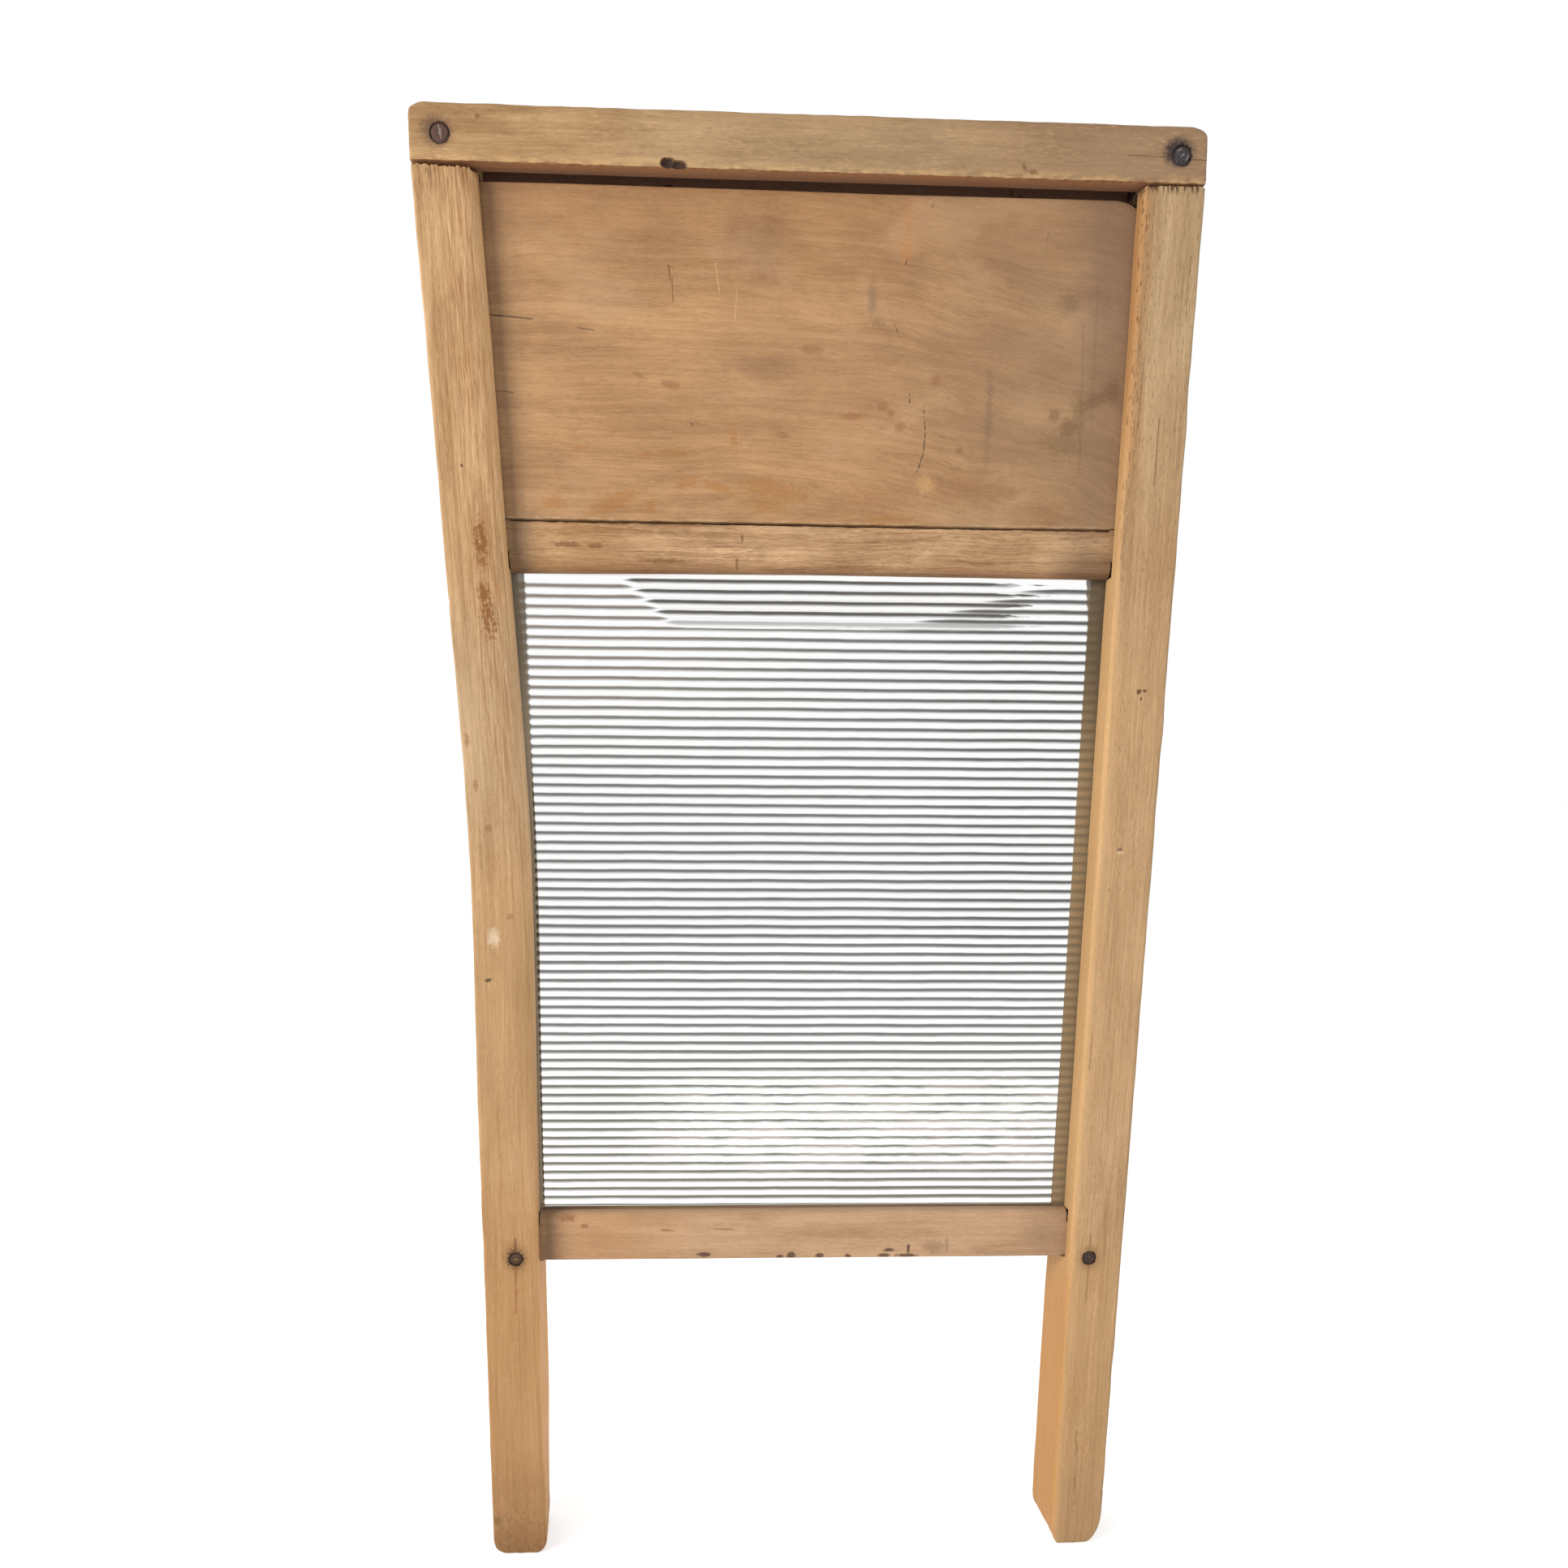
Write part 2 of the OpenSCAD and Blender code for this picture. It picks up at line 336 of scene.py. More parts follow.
def make_stile(side, name):
    low = (LEFT_OUTER if side == LEFT else RIGHT_INNER, FRONT)
    high = (low[0] + STILE_W, BACK)
    outer_r, inner_r, back_inner_r, back_outer_r = STILE_EDGES[side]
    rings = []
    for z, inset in stations(0.0, SHOULDER, STILE_STEP, STILE_EASE, STILE_CORE):
        swing = waves(Vector((0, 0, z)), (1, 1, 45), 7.0 + side)
        soft = waves(Vector((0, 0, z)), (1, 1, 17), 2.0 + side)
        radii = [outer_r * (0.6 + 0.8 * soft), inner_r * (0.55 + 0.9 * swing),
                 back_inner_r, back_outer_r]
        if side == LEFT:
            radii[1] -= 1.6 * fade(z, 360, 240)
            radii[2] += 3.0 * fade(z, 400, 330)
        else:
            radii = [radii[1], radii[0], radii[3], radii[2]]
        radii = [max(0.15, r - inset) for r in radii]
        flat = section((low[0] + inset, low[1] + inset), (high[0] - inset, high[1] - inset),
                       radii, (44, 18, 16, 18))
        rings.append([stile_point(side, Vector((x, y, z))) for x, y in flat])
    bm = loft(rings)
    wear_down(bm, stile_wear(side))
    piece = as_object(bm, name)
    middle = (low[0] + high[0]) / 2 - (lean(SHOULDER) if side == LEFT else 0)
    half = STILE_W / 2 - TENON_EASE
    tenon = block((middle - half, BOARD_LOW.y, SHOULDER - TENON_ROOT),
                  (middle + half, BOARD_HIGH.y, SHOULDER + TENON_H))
    combine(piece, "UNION", [tenon])
    near = inner_x(side, BOTTOM_LOW.z) - side * 3
    far = inner_x(side, BOTTOM_LOW.z) + side * (RAIL_TENON + MORTISE_END)
    mortise = block((min(near, far), RECESS - PLAY, BOTTOM_LOW.z),
                    (max(near, far), GROOVE_BACK, BOTTOM_HIGH.z))
    tools = [mortise,
             stile_groove(side, GLASS_LOW.y - PLAY, BOTTOM_HIGH.z - 1, MID_LOW.z + 1),
             stile_groove(side, RECESS - PLAY, MID_LOW.z, SHOULDER + 0.5)]
    if side == LEFT:
        chip_z = 447.4
        tools.append(pebble((LEFT_OUTER - lean(chip_z) - 0.5, FRONT + 1.0, chip_z), (1.3, 2.2, 2.0), 1.0))
        notch_z = 24.0
        tools.append(pebble((LEFT_OUTER - 0.6, FRONT + 1.0, notch_z), (1.1, 2.0, 1.5), 4.0))
    combine(piece, "DIFFERENCE", tools + nail_holes(name))
    return piece


RAIL_STEP = 0.5
RAIL_END = (7.6, 4.2)
RAIL_END_LEAN = 1.1


def top_rail_point(p):
    """Rounds the rail's two upper corners and leans its right end inwards."""
    x, y, z = p
    width, height = RAIL_END
    drop = corner_rise(RAIL_HIGH.x - abs(x), width, height)
    z = SHOULDER + (z - SHOULDER) * (1 - drop / (TOP - SHOULDER))
    x -= RAIL_END_LEAN * fade(x, RAIL_HIGH.x - 20, RAIL_HIGH.x) * (z - SHOULDER) / (TOP - SHOULDER)
    return Vector((x, y, z))


def top_rail_wear(p):
    dip = 0.2 * waves(p, (90, 9, 9), 21.0) + 0.14 * waves(p, (14, 1.2, 1.2), 22.0)
    low_edge = fade(p.z, SHOULDER + 2.6, SHOULDER) * fade(p.y, FRONT + 3.0, FRONT)
    top_edge = fade(p.z, TOP - 2.2, TOP) * fade(p.y, FRONT + 2.5, FRONT)
    chip = waves(p, (3.0, 3, 3), 23.0)
    return dip + low_edge * 0.9 * max(0.0, chip - 0.3) + top_edge * 0.3 * waves(p, (8, 3, 3), 24.0)


def make_top_rail():
    rings = []
    for x, inset in stations(RAIL_LOW.x, RAIL_HIGH.x, RAIL_STEP, 1.0, 8.0):
        radii = [max(0.15, r - inset) for r in (0.5, 0.8, 1.4, 1.5)]
        flat = section((FRONT + inset, SHOULDER + inset), (BACK - inset, TOP - inset),
                       radii, (16, 10, 14, 22), 4)
        rings.append([top_rail_point(Vector((x, y, z))) for y, z in flat])
    bm = loft(rings)
    wear_down(bm, top_rail_wear)
    piece = as_object(bm, "cap_rail")
    groove = block((RAIL_LOW.x - 2, RECESS - PLAY, SHOULDER - 2),
                   (RAIL_HIGH.x + 2, GROOVE_BACK, SHOULDER + TENON_H + MORTISE_END))
    gouges = [pebble((-57.9, FRONT + 0.1, 612.8), (3.0, 1.5, 1.8), 8.0),
              pebble((-53.6, FRONT + 0.1, 612.1), (3.2, 1.5, 1.7), 9.0)]
    combine(piece, "DIFFERENCE", [groove, *gouges] + nail_holes("cap_rail"))
    return piece


BOARD_STEP = 2.5
BOARD_EASE = 0.6
# Half thickness of the smallest section that closes the board's ends
BOARD_CORE = 0.7


def board_top(x):
    """Upper edge of the soap board, with its rounded right corner."""
    start = BOARD_HIGH.x - BOARD_CORNER_R
    t = clamp((x - start) / BOARD_CORNER_R)
    return BOARD_HIGH.z - BOARD_CORNER_R * (1 - math.sqrt(1 - t * t))


def board_wear(p):
    dip = 0.35 * waves(p, (70, 12, 40), 31.0) + 0.05 * waves(p, (18, 3, 2.0), 32.0)
    low_edge = fade(p.z, SEAM + 1.6, SEAM) * fade(p.y, RECESS + 3, RECESS)
    return dip + low_edge * (0.15 + 0.55 * waves(p, (3.5, 3, 3), 33.0))


def crack(x0, z0, x1, z1, width, depth, y):
    """Cutter for a thin split that tapers from its first to its second end."""
    along = Vector((x1 - x0, 0, z1 - z0)).normalized()
    across = Vector((-along.z, 0, along.x)) * width / 2
    mouth = [Vector((x0, y - 1, z0)) + across, Vector((x0, y - 1, z0)) - across, Vector((x1, y - 1, z1))]
    keel = [Vector((x0, y + depth, z0)) + across * 0.3, Vector((x0, y + depth, z0)) - across * 0.3,
            Vector((x1, y + depth * 0.3, z1))]
    return as_object(loft([mouth, keel]), "crack")


def make_soap_board():
    thick = BOARD_HIGH.y - BOARD_LOW.y
    rings = []
    core = thick / 2 - BOARD_CORE
    for x, inset in stations(BOARD_LOW.x, BOARD_HIGH.x, BOARD_STEP, BOARD_EASE, core):
        x = min(x, BOARD_HIGH.x - 0.02)
        radii = [max(0.12, r - inset) for r in (0.6, 0.6, 0.9, 0.9)]
        flat = section((BOARD_LOW.y + inset, SEAM + inset), (BOARD_HIGH.y - inset, board_top(x) - inset),
                       radii, (4, 50, 4, 50), 3)
        rings.append([Vector((x, y, z)) for y, z in flat])
    bm = loft(rings)
    wear_down(bm, board_wear)
    piece = as_object(bm, "wash_board_panel")
    tools = [crack(inner_x(LEFT, 559) - 2, 559.9, -114.5, 558.8, 0.55, 2.2, RECESS),
             crack(-57.4, 579.5, -56.4, 569.5, 0.45, 0.5, RECESS)]
    combine(piece, "DIFFERENCE", tools)
    return piece


LOWER_RAIL_STEP = 2.2


def rail_rings(edge_z, far_z):
    """Rings of a rail between the stiles, rounded on the edge by the glass."""
    y0, y1 = RECESS, BOTTOM_HIGH.y
    z0, z1 = min(edge_z, far_z), max(edge_z, far_z)
    radii = (RAIL_EDGE_R, 0.8, 0.8, 0.7) if edge_z < far_z else (0.9, 0.8, 0.8, RAIL_EDGE_R)
    count = round((RIGHT_INNER - LEFT_INNER) / LOWER_RAIL_STEP)
    flat = section((y0, z0), (y1, z1), radii, (8, 8, 8, 26), 8)
    rings = []
    for k in range(count + 1):
        ring = []
        for y, z in flat:
            left = inner_x(LEFT, z)
            ring.append(Vector((left + (RIGHT_INNER - left) * k / count, y, z)))
        rings.append(ring)
    return rings


def mid_rail_wear(p):
    front = fade(p.y, RECESS + 7, RECESS)
    dip = 0.2 * waves(p, (60, 8, 6), 41.0) + front * 0.32 * waves(p, (26, 2.0, 1.0), 42.0)
    top_edge = fade(p.z, SEAM - 1.5, SEAM) * fade(p.y, RECESS + 3, RECESS)
    return dip + top_edge * (0.1 + 0.6 * waves(p, (3.0, 3, 3), 43.0))


def bottom_rail_wear(p):
    return 0.25 * waves(p, (70, 8, 8), 51.0) + 0.07 * waves(p, (30, 2.0, 1.0), 52.0)


def make_lower_rail(name, edge_z, far_z, wear, tenon_length, tenon_z, sag=0.0):
    """Rail beside the glass. The left end of its edge at edge_z hangs by sag."""
    bm = loft(rail_rings(edge_z, far_z))
    wear_down(bm, wear)
    for v in bm.verts:
        nearness = clamp((v.co.z - far_z) / (edge_z - far_z))
        v.co.z -= sag * clamp(v.co.x / LEFT_INNER) * nearness
    piece = as_object(bm, name)
    z0, z1 = tenon_z
    left, right = inner_x(LEFT, z1), RIGHT_INNER
    low_y, high_y = RECESS, BOARD_HIGH.y
    tenons = [block((left - tenon_length, low_y, z0), (left + 1.5, high_y, z1)),
              block((right - 1.5, low_y, z0), (right + tenon_length, high_y, z1))]
    combine(piece, "UNION", tenons)
    away = 1 if far_z > edge_z else -1
    slot_z = sorted((edge_z - away * 2, edge_z + away * GLASS_HOLD))
    slot = block((LEFT_LOW.x, GLASS_LOW.y - PLAY, slot_z[0]), (RIGHT_HIGH.x, GROOVE_BACK, slot_z[1]))
    lip_z = sorted((edge_z - away * 2, edge_z + away * BACK_LIP_DROP))
    lip = block((LEFT_LOW.x, GROOVE_BACK - 1, lip_z[0]), (RIGHT_HIGH.x, BOTTOM_HIGH.y + 1, lip_z[1]))
    combine(piece, "DIFFERENCE", [slot, lip] + nail_holes(name))
    return piece


# ---------------------------------------------------------------- nails
NAILS = {"nail_top_left": ("cap_rail", "stile_left"), "nail_top_right": ("cap_rail", "stile_right"),
         "nail_leg_left": ("foot_rail", "stile_left"), "nail_leg_right": ("foot_rail", "stile_right")}
SHANK_R = 1.4
HEAD_T = 1.2
POINT_LEN = 4.0
NAIL_SIDES = 40
DOME_STEPS = 6


def revolve(profile, centre, wobble, seed):
    """Turned mesh round an axis along Y: profile is (radius, depth) points."""
    rings = []
    for radius, depth in profile:
        ring = []
        for k in range(NAIL_SIDES):
            a = math.tau * k / NAIL_SIDES
            rim = Vector((math.cos(a) * 2, depth, math.sin(a) * 2))
            r = radius * (1 - wobble * waves(rim, (1, 1, 1), seed))
            ring.append((centre.x + r * math.cos(a), FRONT + depth, centre.z + r * math.sin(a)))
        rings.append(ring)
    return loft(rings)


def nail_centre(node):
    low, high = span(node)
    return (low + high) / 2, (high.x - low.x) / 2, high.y - low.y


def nail_holes(piece_name):
    """Cutters for the nails that go through a piece."""
    holes = []
    for node, pieces in NAILS.items():
        if piece_name in pieces:
            centre, radius, length = nail_centre(node)
            profile = [(radius + 0.25, -2.0), (radius + 0.12, HEAD_T + 0.1), (SHANK_R + 0.05, HEAD_T + 0.1),
                       (SHANK_R + 0.05, length + 0.3)]
            holes.append(as_object(revolve(profile, centre, 0.0, 0.0), "hole"))
    return holes


def make_nail(node, seed):
    centre, radius, length = nail_centre(node)
    dome = [(radius * (0.1 + 0.86 * k / DOME_STEPS), 0.12 + 0.3 * (k / DOME_STEPS) ** 2)
            for k in range(DOME_STEPS + 1)]
    profile = dome + [(radius, 0.62), (radius, HEAD_T - 0.15), (radius - 0.2, HEAD_T), (SHANK_R, HEAD_T),
                      (SHANK_R, length - POINT_LEN), (SHANK_R / 4, length)]
    bm = revolve(profile, centre, 0.05, seed)
    for v in bm.verts:
        if v.co.y < FRONT + 0.7:
            v.co.y += 0.16 * waves(v.co, (1.1, 5, 1.1), seed)
    return as_object(bm, node + "_forged")


# ---------------------------------------------------------------- glass
GLASS_STEPS = 8
GLASS_COLUMNS = 84
MARGIN_BLEND = 2.5
RIB_LEFT = -121.0
RIB_RIGHT = RIGHT_INNER + 1.5


def rib_valley(drop, x):
    """Depth of the glass face below its crests at a drop below the first valley."""
    ribbed = fade(x, RIB_LEFT, RIB_LEFT + MARGIN_BLEND) * fade(x, RIB_RIGHT, RIB_RIGHT - MARGIN_BLEND)
    round_rib = abs(math.sin(math.pi * drop / RIB_PITCH))
    return RIB_H * (1 - ribbed * round_rib)


def make_glass():
    drops = [i * RIB_PITCH / GLASS_STEPS for i in range(RIB_COUNT * GLASS_STEPS + 1)]
    rings = []
    for k in range(GLASS_COLUMNS + 1):
        x = GLASS_LOW.x + (GLASS_HIGH.x - GLASS_LOW.x) * k / GLASS_COLUMNS
        front, back = [], []
        for drop in drops:
            z = FIRST_RIB - drop
            drift = 0.22 * (waves(Vector((x, 0, z)), (45, 1, 30), 61.0) - 0.5)
            depth = rib_valley(drop + drift, x)
            front.append(Vector((x, GLASS_LOW.y + depth, z)))
            back.append(Vector((x, GLASS_HIGH.y - depth, z)))
        flat = GLASS_LOW.y + RIB_H
        flat_back = GLASS_HIGH.y - RIB_H
        ring = [Vector((x, flat, GLASS_HIGH.z))] + front
        ring += [Vector((x, flat, GLASS_LOW.z)), Vector((x, flat_back, GLASS_LOW.z))]
        ring += list(reversed(back)) + [Vector((x, flat_back, GLASS_HIGH.z))]
        rings.append(ring)
    return as_object(loft(rings), "glass_ribbed")


# ---------------------------------------------------------------- materials
# Light on faces that look forwards, on faces turned away from the key light, and
# deep in the groove under the top rail
LIT = 1.6
SHADE = 0.9
DEEP = 0.25
WHITE = (1.0, 1.0, 1.0, 1.0)


def seen(r, g, b, light=LIT):
    """Colour that shows as this sRGB colour under the scene's light."""
    def linear(c):
        c /= 255
        return c / 12.92 if c <= 0.04045 else ((c + 0.055) / 1.055) ** 2.4
    return (linear(r) / light, linear(g) / light, linear(b) / light, 1.0)


class Paint:
    """Builds one material's nodes. Places are millimetres, in the wood's own frame
    for "grain" and in the scene's for "object"."""

    def __init__(self, name, place="grain"):
        self.material = bpy.data.materials.new(name)
        self.material.use_nodes = True
        self.tree = self.material.node_tree
        self.tree.nodes.clear()
        self.shift = 0.0
        self.kept = {}
        if place == "grain":
            source = self.add("Attribute", attribute_name="grain").outputs["Vector"]
        else:
            source = self.add("TexCoord").outputs["Object"]
            source = self.vector("SCALE", source, scale=1 / MM)
        self.place = source
        parts = self.add("SeparateXYZ", {"Vector": source})
        self.x, self.y, self.z = (parts.outputs[k] for k in "XYZ")

    def add(self, kind, inputs=None, **settings):
        node = self.tree.nodes.new("ShaderNode" + kind)
        for key, value in settings.items():
            setattr(node, key, value)
        for key, value in (inputs or {}).items():
            if isinstance(value, bpy.types.NodeSocket):
                self.tree.links.new(value, node.inputs[key])
            else:
                node.inputs[key].default_value = value
        return node

    def surface(self, shader):
        """Ends the material with a shader."""
        out = self.add("OutputMaterial")
        self.tree.links.new(shader.outputs[0], out.inputs["Surface"])
        return self.material

    def math(self, operation, a, b=0.0, clamped=False):
        return self.add("Math", {0: a, 1: b}, operation=operation, use_clamp=clamped).outputs[0]

    def times(self, *factors):
        product = factors[0]
        for factor in factors[1:]:
            product = self.math("MULTIPLY", product, factor)
        return product

    def plus(self, a, b):
        return self.math("ADD", a, b)

    def minus(self, a, b):
        return self.math("SUBTRACT", a, b)

    def slope(self, value, start, rise):
        """start plus rise for each unit of value."""
        return self.plus(self.times(value, rise), start)

    def most(self, *masks):
        """Largest of several masks."""
        result = masks[0]
        for mask in masks[1:]:
            result = self.math("MAXIMUM", result, mask)
        return result

    def vector(self, operation, a, b=None, scale=None):
        inputs = {0: a}
        if b is not None:
            inputs[1] = b
        if scale is not None:
            inputs["Scale"] = scale
        outputs = self.add("VectorMath", inputs, operation=operation).outputs
        return outputs["Value"] if operation in ("DOT_PRODUCT", "DISTANCE") else outputs[0]

    def step(self, value, start, stop):
        """Smooth step that rises from 0 at start to 1 at stop, or falls if stop is lower."""
        low, high = min(start, stop), max(start, stop)
        ends = (0.0, 1.0) if start < stop else (1.0, 0.0)
        node = self.add("MapRange", {"Value": value, "From Min": low, "From Max": high,
                                     "To Min": ends[0], "To Max": ends[1]},
                        interpolation_type="SMOOTHSTEP", clamp=True)
        return node.outputs["Result"]

    def between(self, value, low, high, soft):
        """1 between two values and 0 beyond them, with soft ends."""
        return self.times(self.step(value, low - soft, low + soft),
                          self.step(value, high + soft, high - soft))

    def noise(self, size, detail=3.0, rough=0.5, warp=0.0, low=0.35, high=0.65):
        """Noise from 0 to 1 with its feature size in millimetres along X, Y and Z."""
        self.shift += 13.7
        scaled = self.vector("MULTIPLY", self.place, tuple(1 / s for s in size))
        moved = self.vector("ADD", scaled, (self.shift, -self.shift, 2 * self.shift))
        node = self.add("TexNoise", {"Vector": moved, "Scale": 1.0, "Detail": detail,
                                     "Roughness": rough, "Distortion": warp})
        return self.step(node.outputs["Fac"], low, high)

    def drift(self, size, detail=2, rough=0.5):
        """Noise about 0, between -0.5 and 0.5."""
        return self.minus(self.noise(size, detail, rough, low=0.2, high=0.8), 0.5)

    def mix(self, a, b, share):
        return self.add("Mix", {0: share, 6: a, 7: b}, data_type="RGBA").outputs[2]

    def facing(self, direction, low=0.1, high=0.6):
        """1 on faces that look in a direction."""
        if "normal" not in self.kept:
            self.kept["normal"] = self.add("NewGeometry").outputs["True Normal"]
        return self.step(self.vector("DOT_PRODUCT", self.kept["normal"], direction), low, high)

    def front(self):
        return self.facing((0, -1, 0))

    def bumps(self, size):
        """Fine noise that breaks up the edges of stains, made once for each size."""
        if size not in self.kept:
            self.kept[size] = self.drift(size, 3, 0.6)
        return self.kept[size]

    def spot(self, x, z, rx, rz, turn=0.0, ragged=0.5, soft=0.6, size=(1.6, 3, 1.6)):
        """Mask of a stain round a place, turned by an angle, with a ragged soft edge."""
        c, s = math.cos(math.radians(turn)), math.sin(math.radians(turn))
        dx, dz = self.minus(self.x, x), self.minus(self.z, z)
        along = self.times(self.plus(self.times(dx, c), self.times(dz, s)), 1 / rx)
        across = self.times(self.minus(self.times(dz, c), self.times(dx, s)), 1 / rz)
        distance = self.math("SQRT", self.plus(self.times(along, along), self.times(across, across)))
        reach = self.plus(distance, self.times(self.bumps(size), 2 * ragged))
        return self.step(reach, 1 + soft / 2, 1 - soft / 2)

    def spots(self, places, **settings):
        """Mask of several stains, on faces that look forwards."""
        return self.times(self.most(*[self.spot(*place, **settings) for place in places]), self.front())

    def streak(self, x0, z0, x1, z1, width, ragged=0.5):
        """Mask of a thin line between two places."""
        start, run = Vector((x0, 0, z0)), Vector((x1 - x0, 0, z1 - z0))
        flat = self.vector("MULTIPLY", self.place, (1, 0, 1))
        away = self.vector("SUBTRACT", flat, tuple(start))
        along = self.vector("DOT_PRODUCT", away, tuple(run))
        share = self.math("DIVIDE", along, run.length_squared, clamped=True)
        nearest = self.vector("SCALE", tuple(run), scale=share)
        distance = self.vector("DISTANCE", away, nearest)
        uneven = self.times(self.plus(self.bumps((1.8, 3, 1.8)), 0.5), width * ragged)
        return self.step(self.plus(distance, uneven), width, width * 0.4)

    def streaks(self, lines, **settings):
        """Mask of several thin lines, on faces that look forwards."""
        return self.times(self.most(*[self.streak(*line, **settings) for line in lines]), self.front())


class Wood(Paint):
    """Weathered wood: fibres run along the axis "X" or "Z". Its colours are sRGB as they
    show in the picture, with the light on them as a fourth number if it isn't LIT."""

    HAIR_DEPTH = 0.16

    def __init__(self, name, axis, light, dark, fibre, seed, contrast=1.0, dashes=0.5, coarse=1.0,
                 cloud=0.35, wave=None):
        super().__init__(name)
        self.axis = axis
        self.shift = seed
        straight = self.place
        if wave:
            self.bend_grain(*wave)
        clouds = self.noise(self.size(15, 42), 4, 0.6)
        rings = self.noise(self.size(9 * coarse, 150), 3, 0.5)
        bands = self.noise(self.size(2.6 * coarse, 85), 4, 0.6, 0.2)
        lines = self.noise(self.size(1.1 * coarse, 26), 3, 0.6)
        fuzz = self.noise(self.size(0.45, 6), 3, 0.6)
        share = 0.5
        for layer, weight in ((clouds, cloud), (rings, 0.24), (bands, 0.26), (lines, 0.24), (fuzz, 0.24)):
            share = self.plus(share, self.times(self.minus(layer, 0.5), weight * contrast))
        self.color = self.mix(seen(*dark), seen(*light), share)
        pale = self.noise(self.size(0.5, 5), 2, 0.5, low=0.60, high=0.74)
        self.stain(pale, light, 0.5 * contrast)
        pores = self.noise(self.size(0.36, 3.4), 2, 0.5, low=0.60, high=0.71)
        pores = self.times(pores, self.noise(self.size(8, 60), 2, low=0.35, high=0.6))
        self.stain(pores, fibre, dashes)
        self.hairs = self.noise(self.size(0.32, 2.6), 3, 0.7, low=0.3, high=0.7)
        self.height = self.plus(self.times(lines, 0.5), self.times(bands, 0.4))
        self.height = self.plus(self.height, self.times(fuzz, 0.35))
        self.sink(pores, 1.0)
        self.rough = self.plus(0.62, self.times(self.noise(self.size(3, 24), 2), 0.2))
        self.place = straight

    def size(self, across, along):
        return (along, across, across) if self.axis == "X" else (across, across, along)

    def bend_grain(self, slow, quick, start, stop, sag=0.0):
        """Makes fibres that run along X wave up and down, by slow and quick amounts
        that grow from start to stop along X, and sag beyond start."""
        share = self.plus(0.25, self.times(self.step(self.x, start, stop), 0.75))
        swing = self.drift((75, 30, 42), 1, 0.4)
        ripple = self.drift((20, 9, 10), 1, 0.4)
        lift = self.times(self.plus(self.times(swing, slow), self.times(ripple, quick)), share)
        beyond = self.math("MAXIMUM", self.minus(self.x, start), 0.0)
        lift = self.plus(lift, self.times(beyond, beyond, sag))
        self.place = self.vector("ADD", self.place, self.add("CombineXYZ", {"Z": lift}).outputs[0])

    def stain(self, mask, color, strength=1.0):
        self.color = self.mix(self.color, seen(*color), self.times(mask, strength))

    def wash(self, value, start, stop, color, strength):
        """Stain that sets in smoothly from start to stop."""
        self.stain(self.step(value, start, stop), color, strength)

    def blots(self, places, color, strength, **settings):
        self.stain(self.spots(places, **settings), color, strength)

    def scratches(self, lines, color, strength, **settings):
        self.stain(self.streaks(lines, **settings), color, strength)

    def lighten(self, mask, gain):
        """Scales the colour under a mask, to paint light on it."""
        self.color = self.mix(self.color, self.vector("SCALE", self.color, scale=gain), mask)

    def sink(self, mask, depth):
        """Lowers the surface's bump under a mask."""
        self.height = self.plus(self.height, self.times(mask, -depth))

    def stile_shadow(self, low_z, high_z, strength):
        """Painted shadow beside the left stile, between two heights: a grey-brown band that widens the shadow
        the stile casts from the key light.
        """
        slant = (lean(high_z) - lean(low_z)) / (high_z - low_z)
        edge = self.plus(self.times(self.minus(self.z, low_z), -slant), LEFT_INNER - lean(low_z))
        away = self.plus(self.minus(self.x, edge), self.times(self.bumps((6, 6, 14)), 2.5))
        mask = self.times(self.step(away, 18, 3), self.plus(0.6, self.times(self.step(away, 1, 4), 0.4)))
        self.stain(mask, (116, 90, 68), strength)

    def nail_hole(self, node, color):
        """Darkens the hole round a nail's head."""
        centre, radius, _ = nail_centre(node)
        hole = self.spot(centre.x, centre.z, radius + 0.45, radius + 0.45, ragged=0.1, soft=0.15)
        self.stain(self.times(hole, self.step(self.y, FRONT + 4, FRONT + 3)), color, 0.97)

    def done(self, bump=0.35):
        """Lays the finest fibres over everything and finishes the shader."""
        shade = self.plus(1 - self.HAIR_DEPTH / 2, self.times(self.hairs, self.HAIR_DEPTH))
        color = self.vector("SCALE", self.color, scale=shade)
        normal = self.add("Bump", {"Strength": bump, "Distance": 0.4 * MM, "Height": self.height})
        return self.surface(self.add("BsdfPrincipled", {
            "Base Color": color, "Roughness": self.rough, "Specular IOR Level": 0.2,
            "Normal": normal.outputs[0]}))


def upright(x, z):
    """Place on the left stile as it would be without the bend."""
    return x + lean(z), z


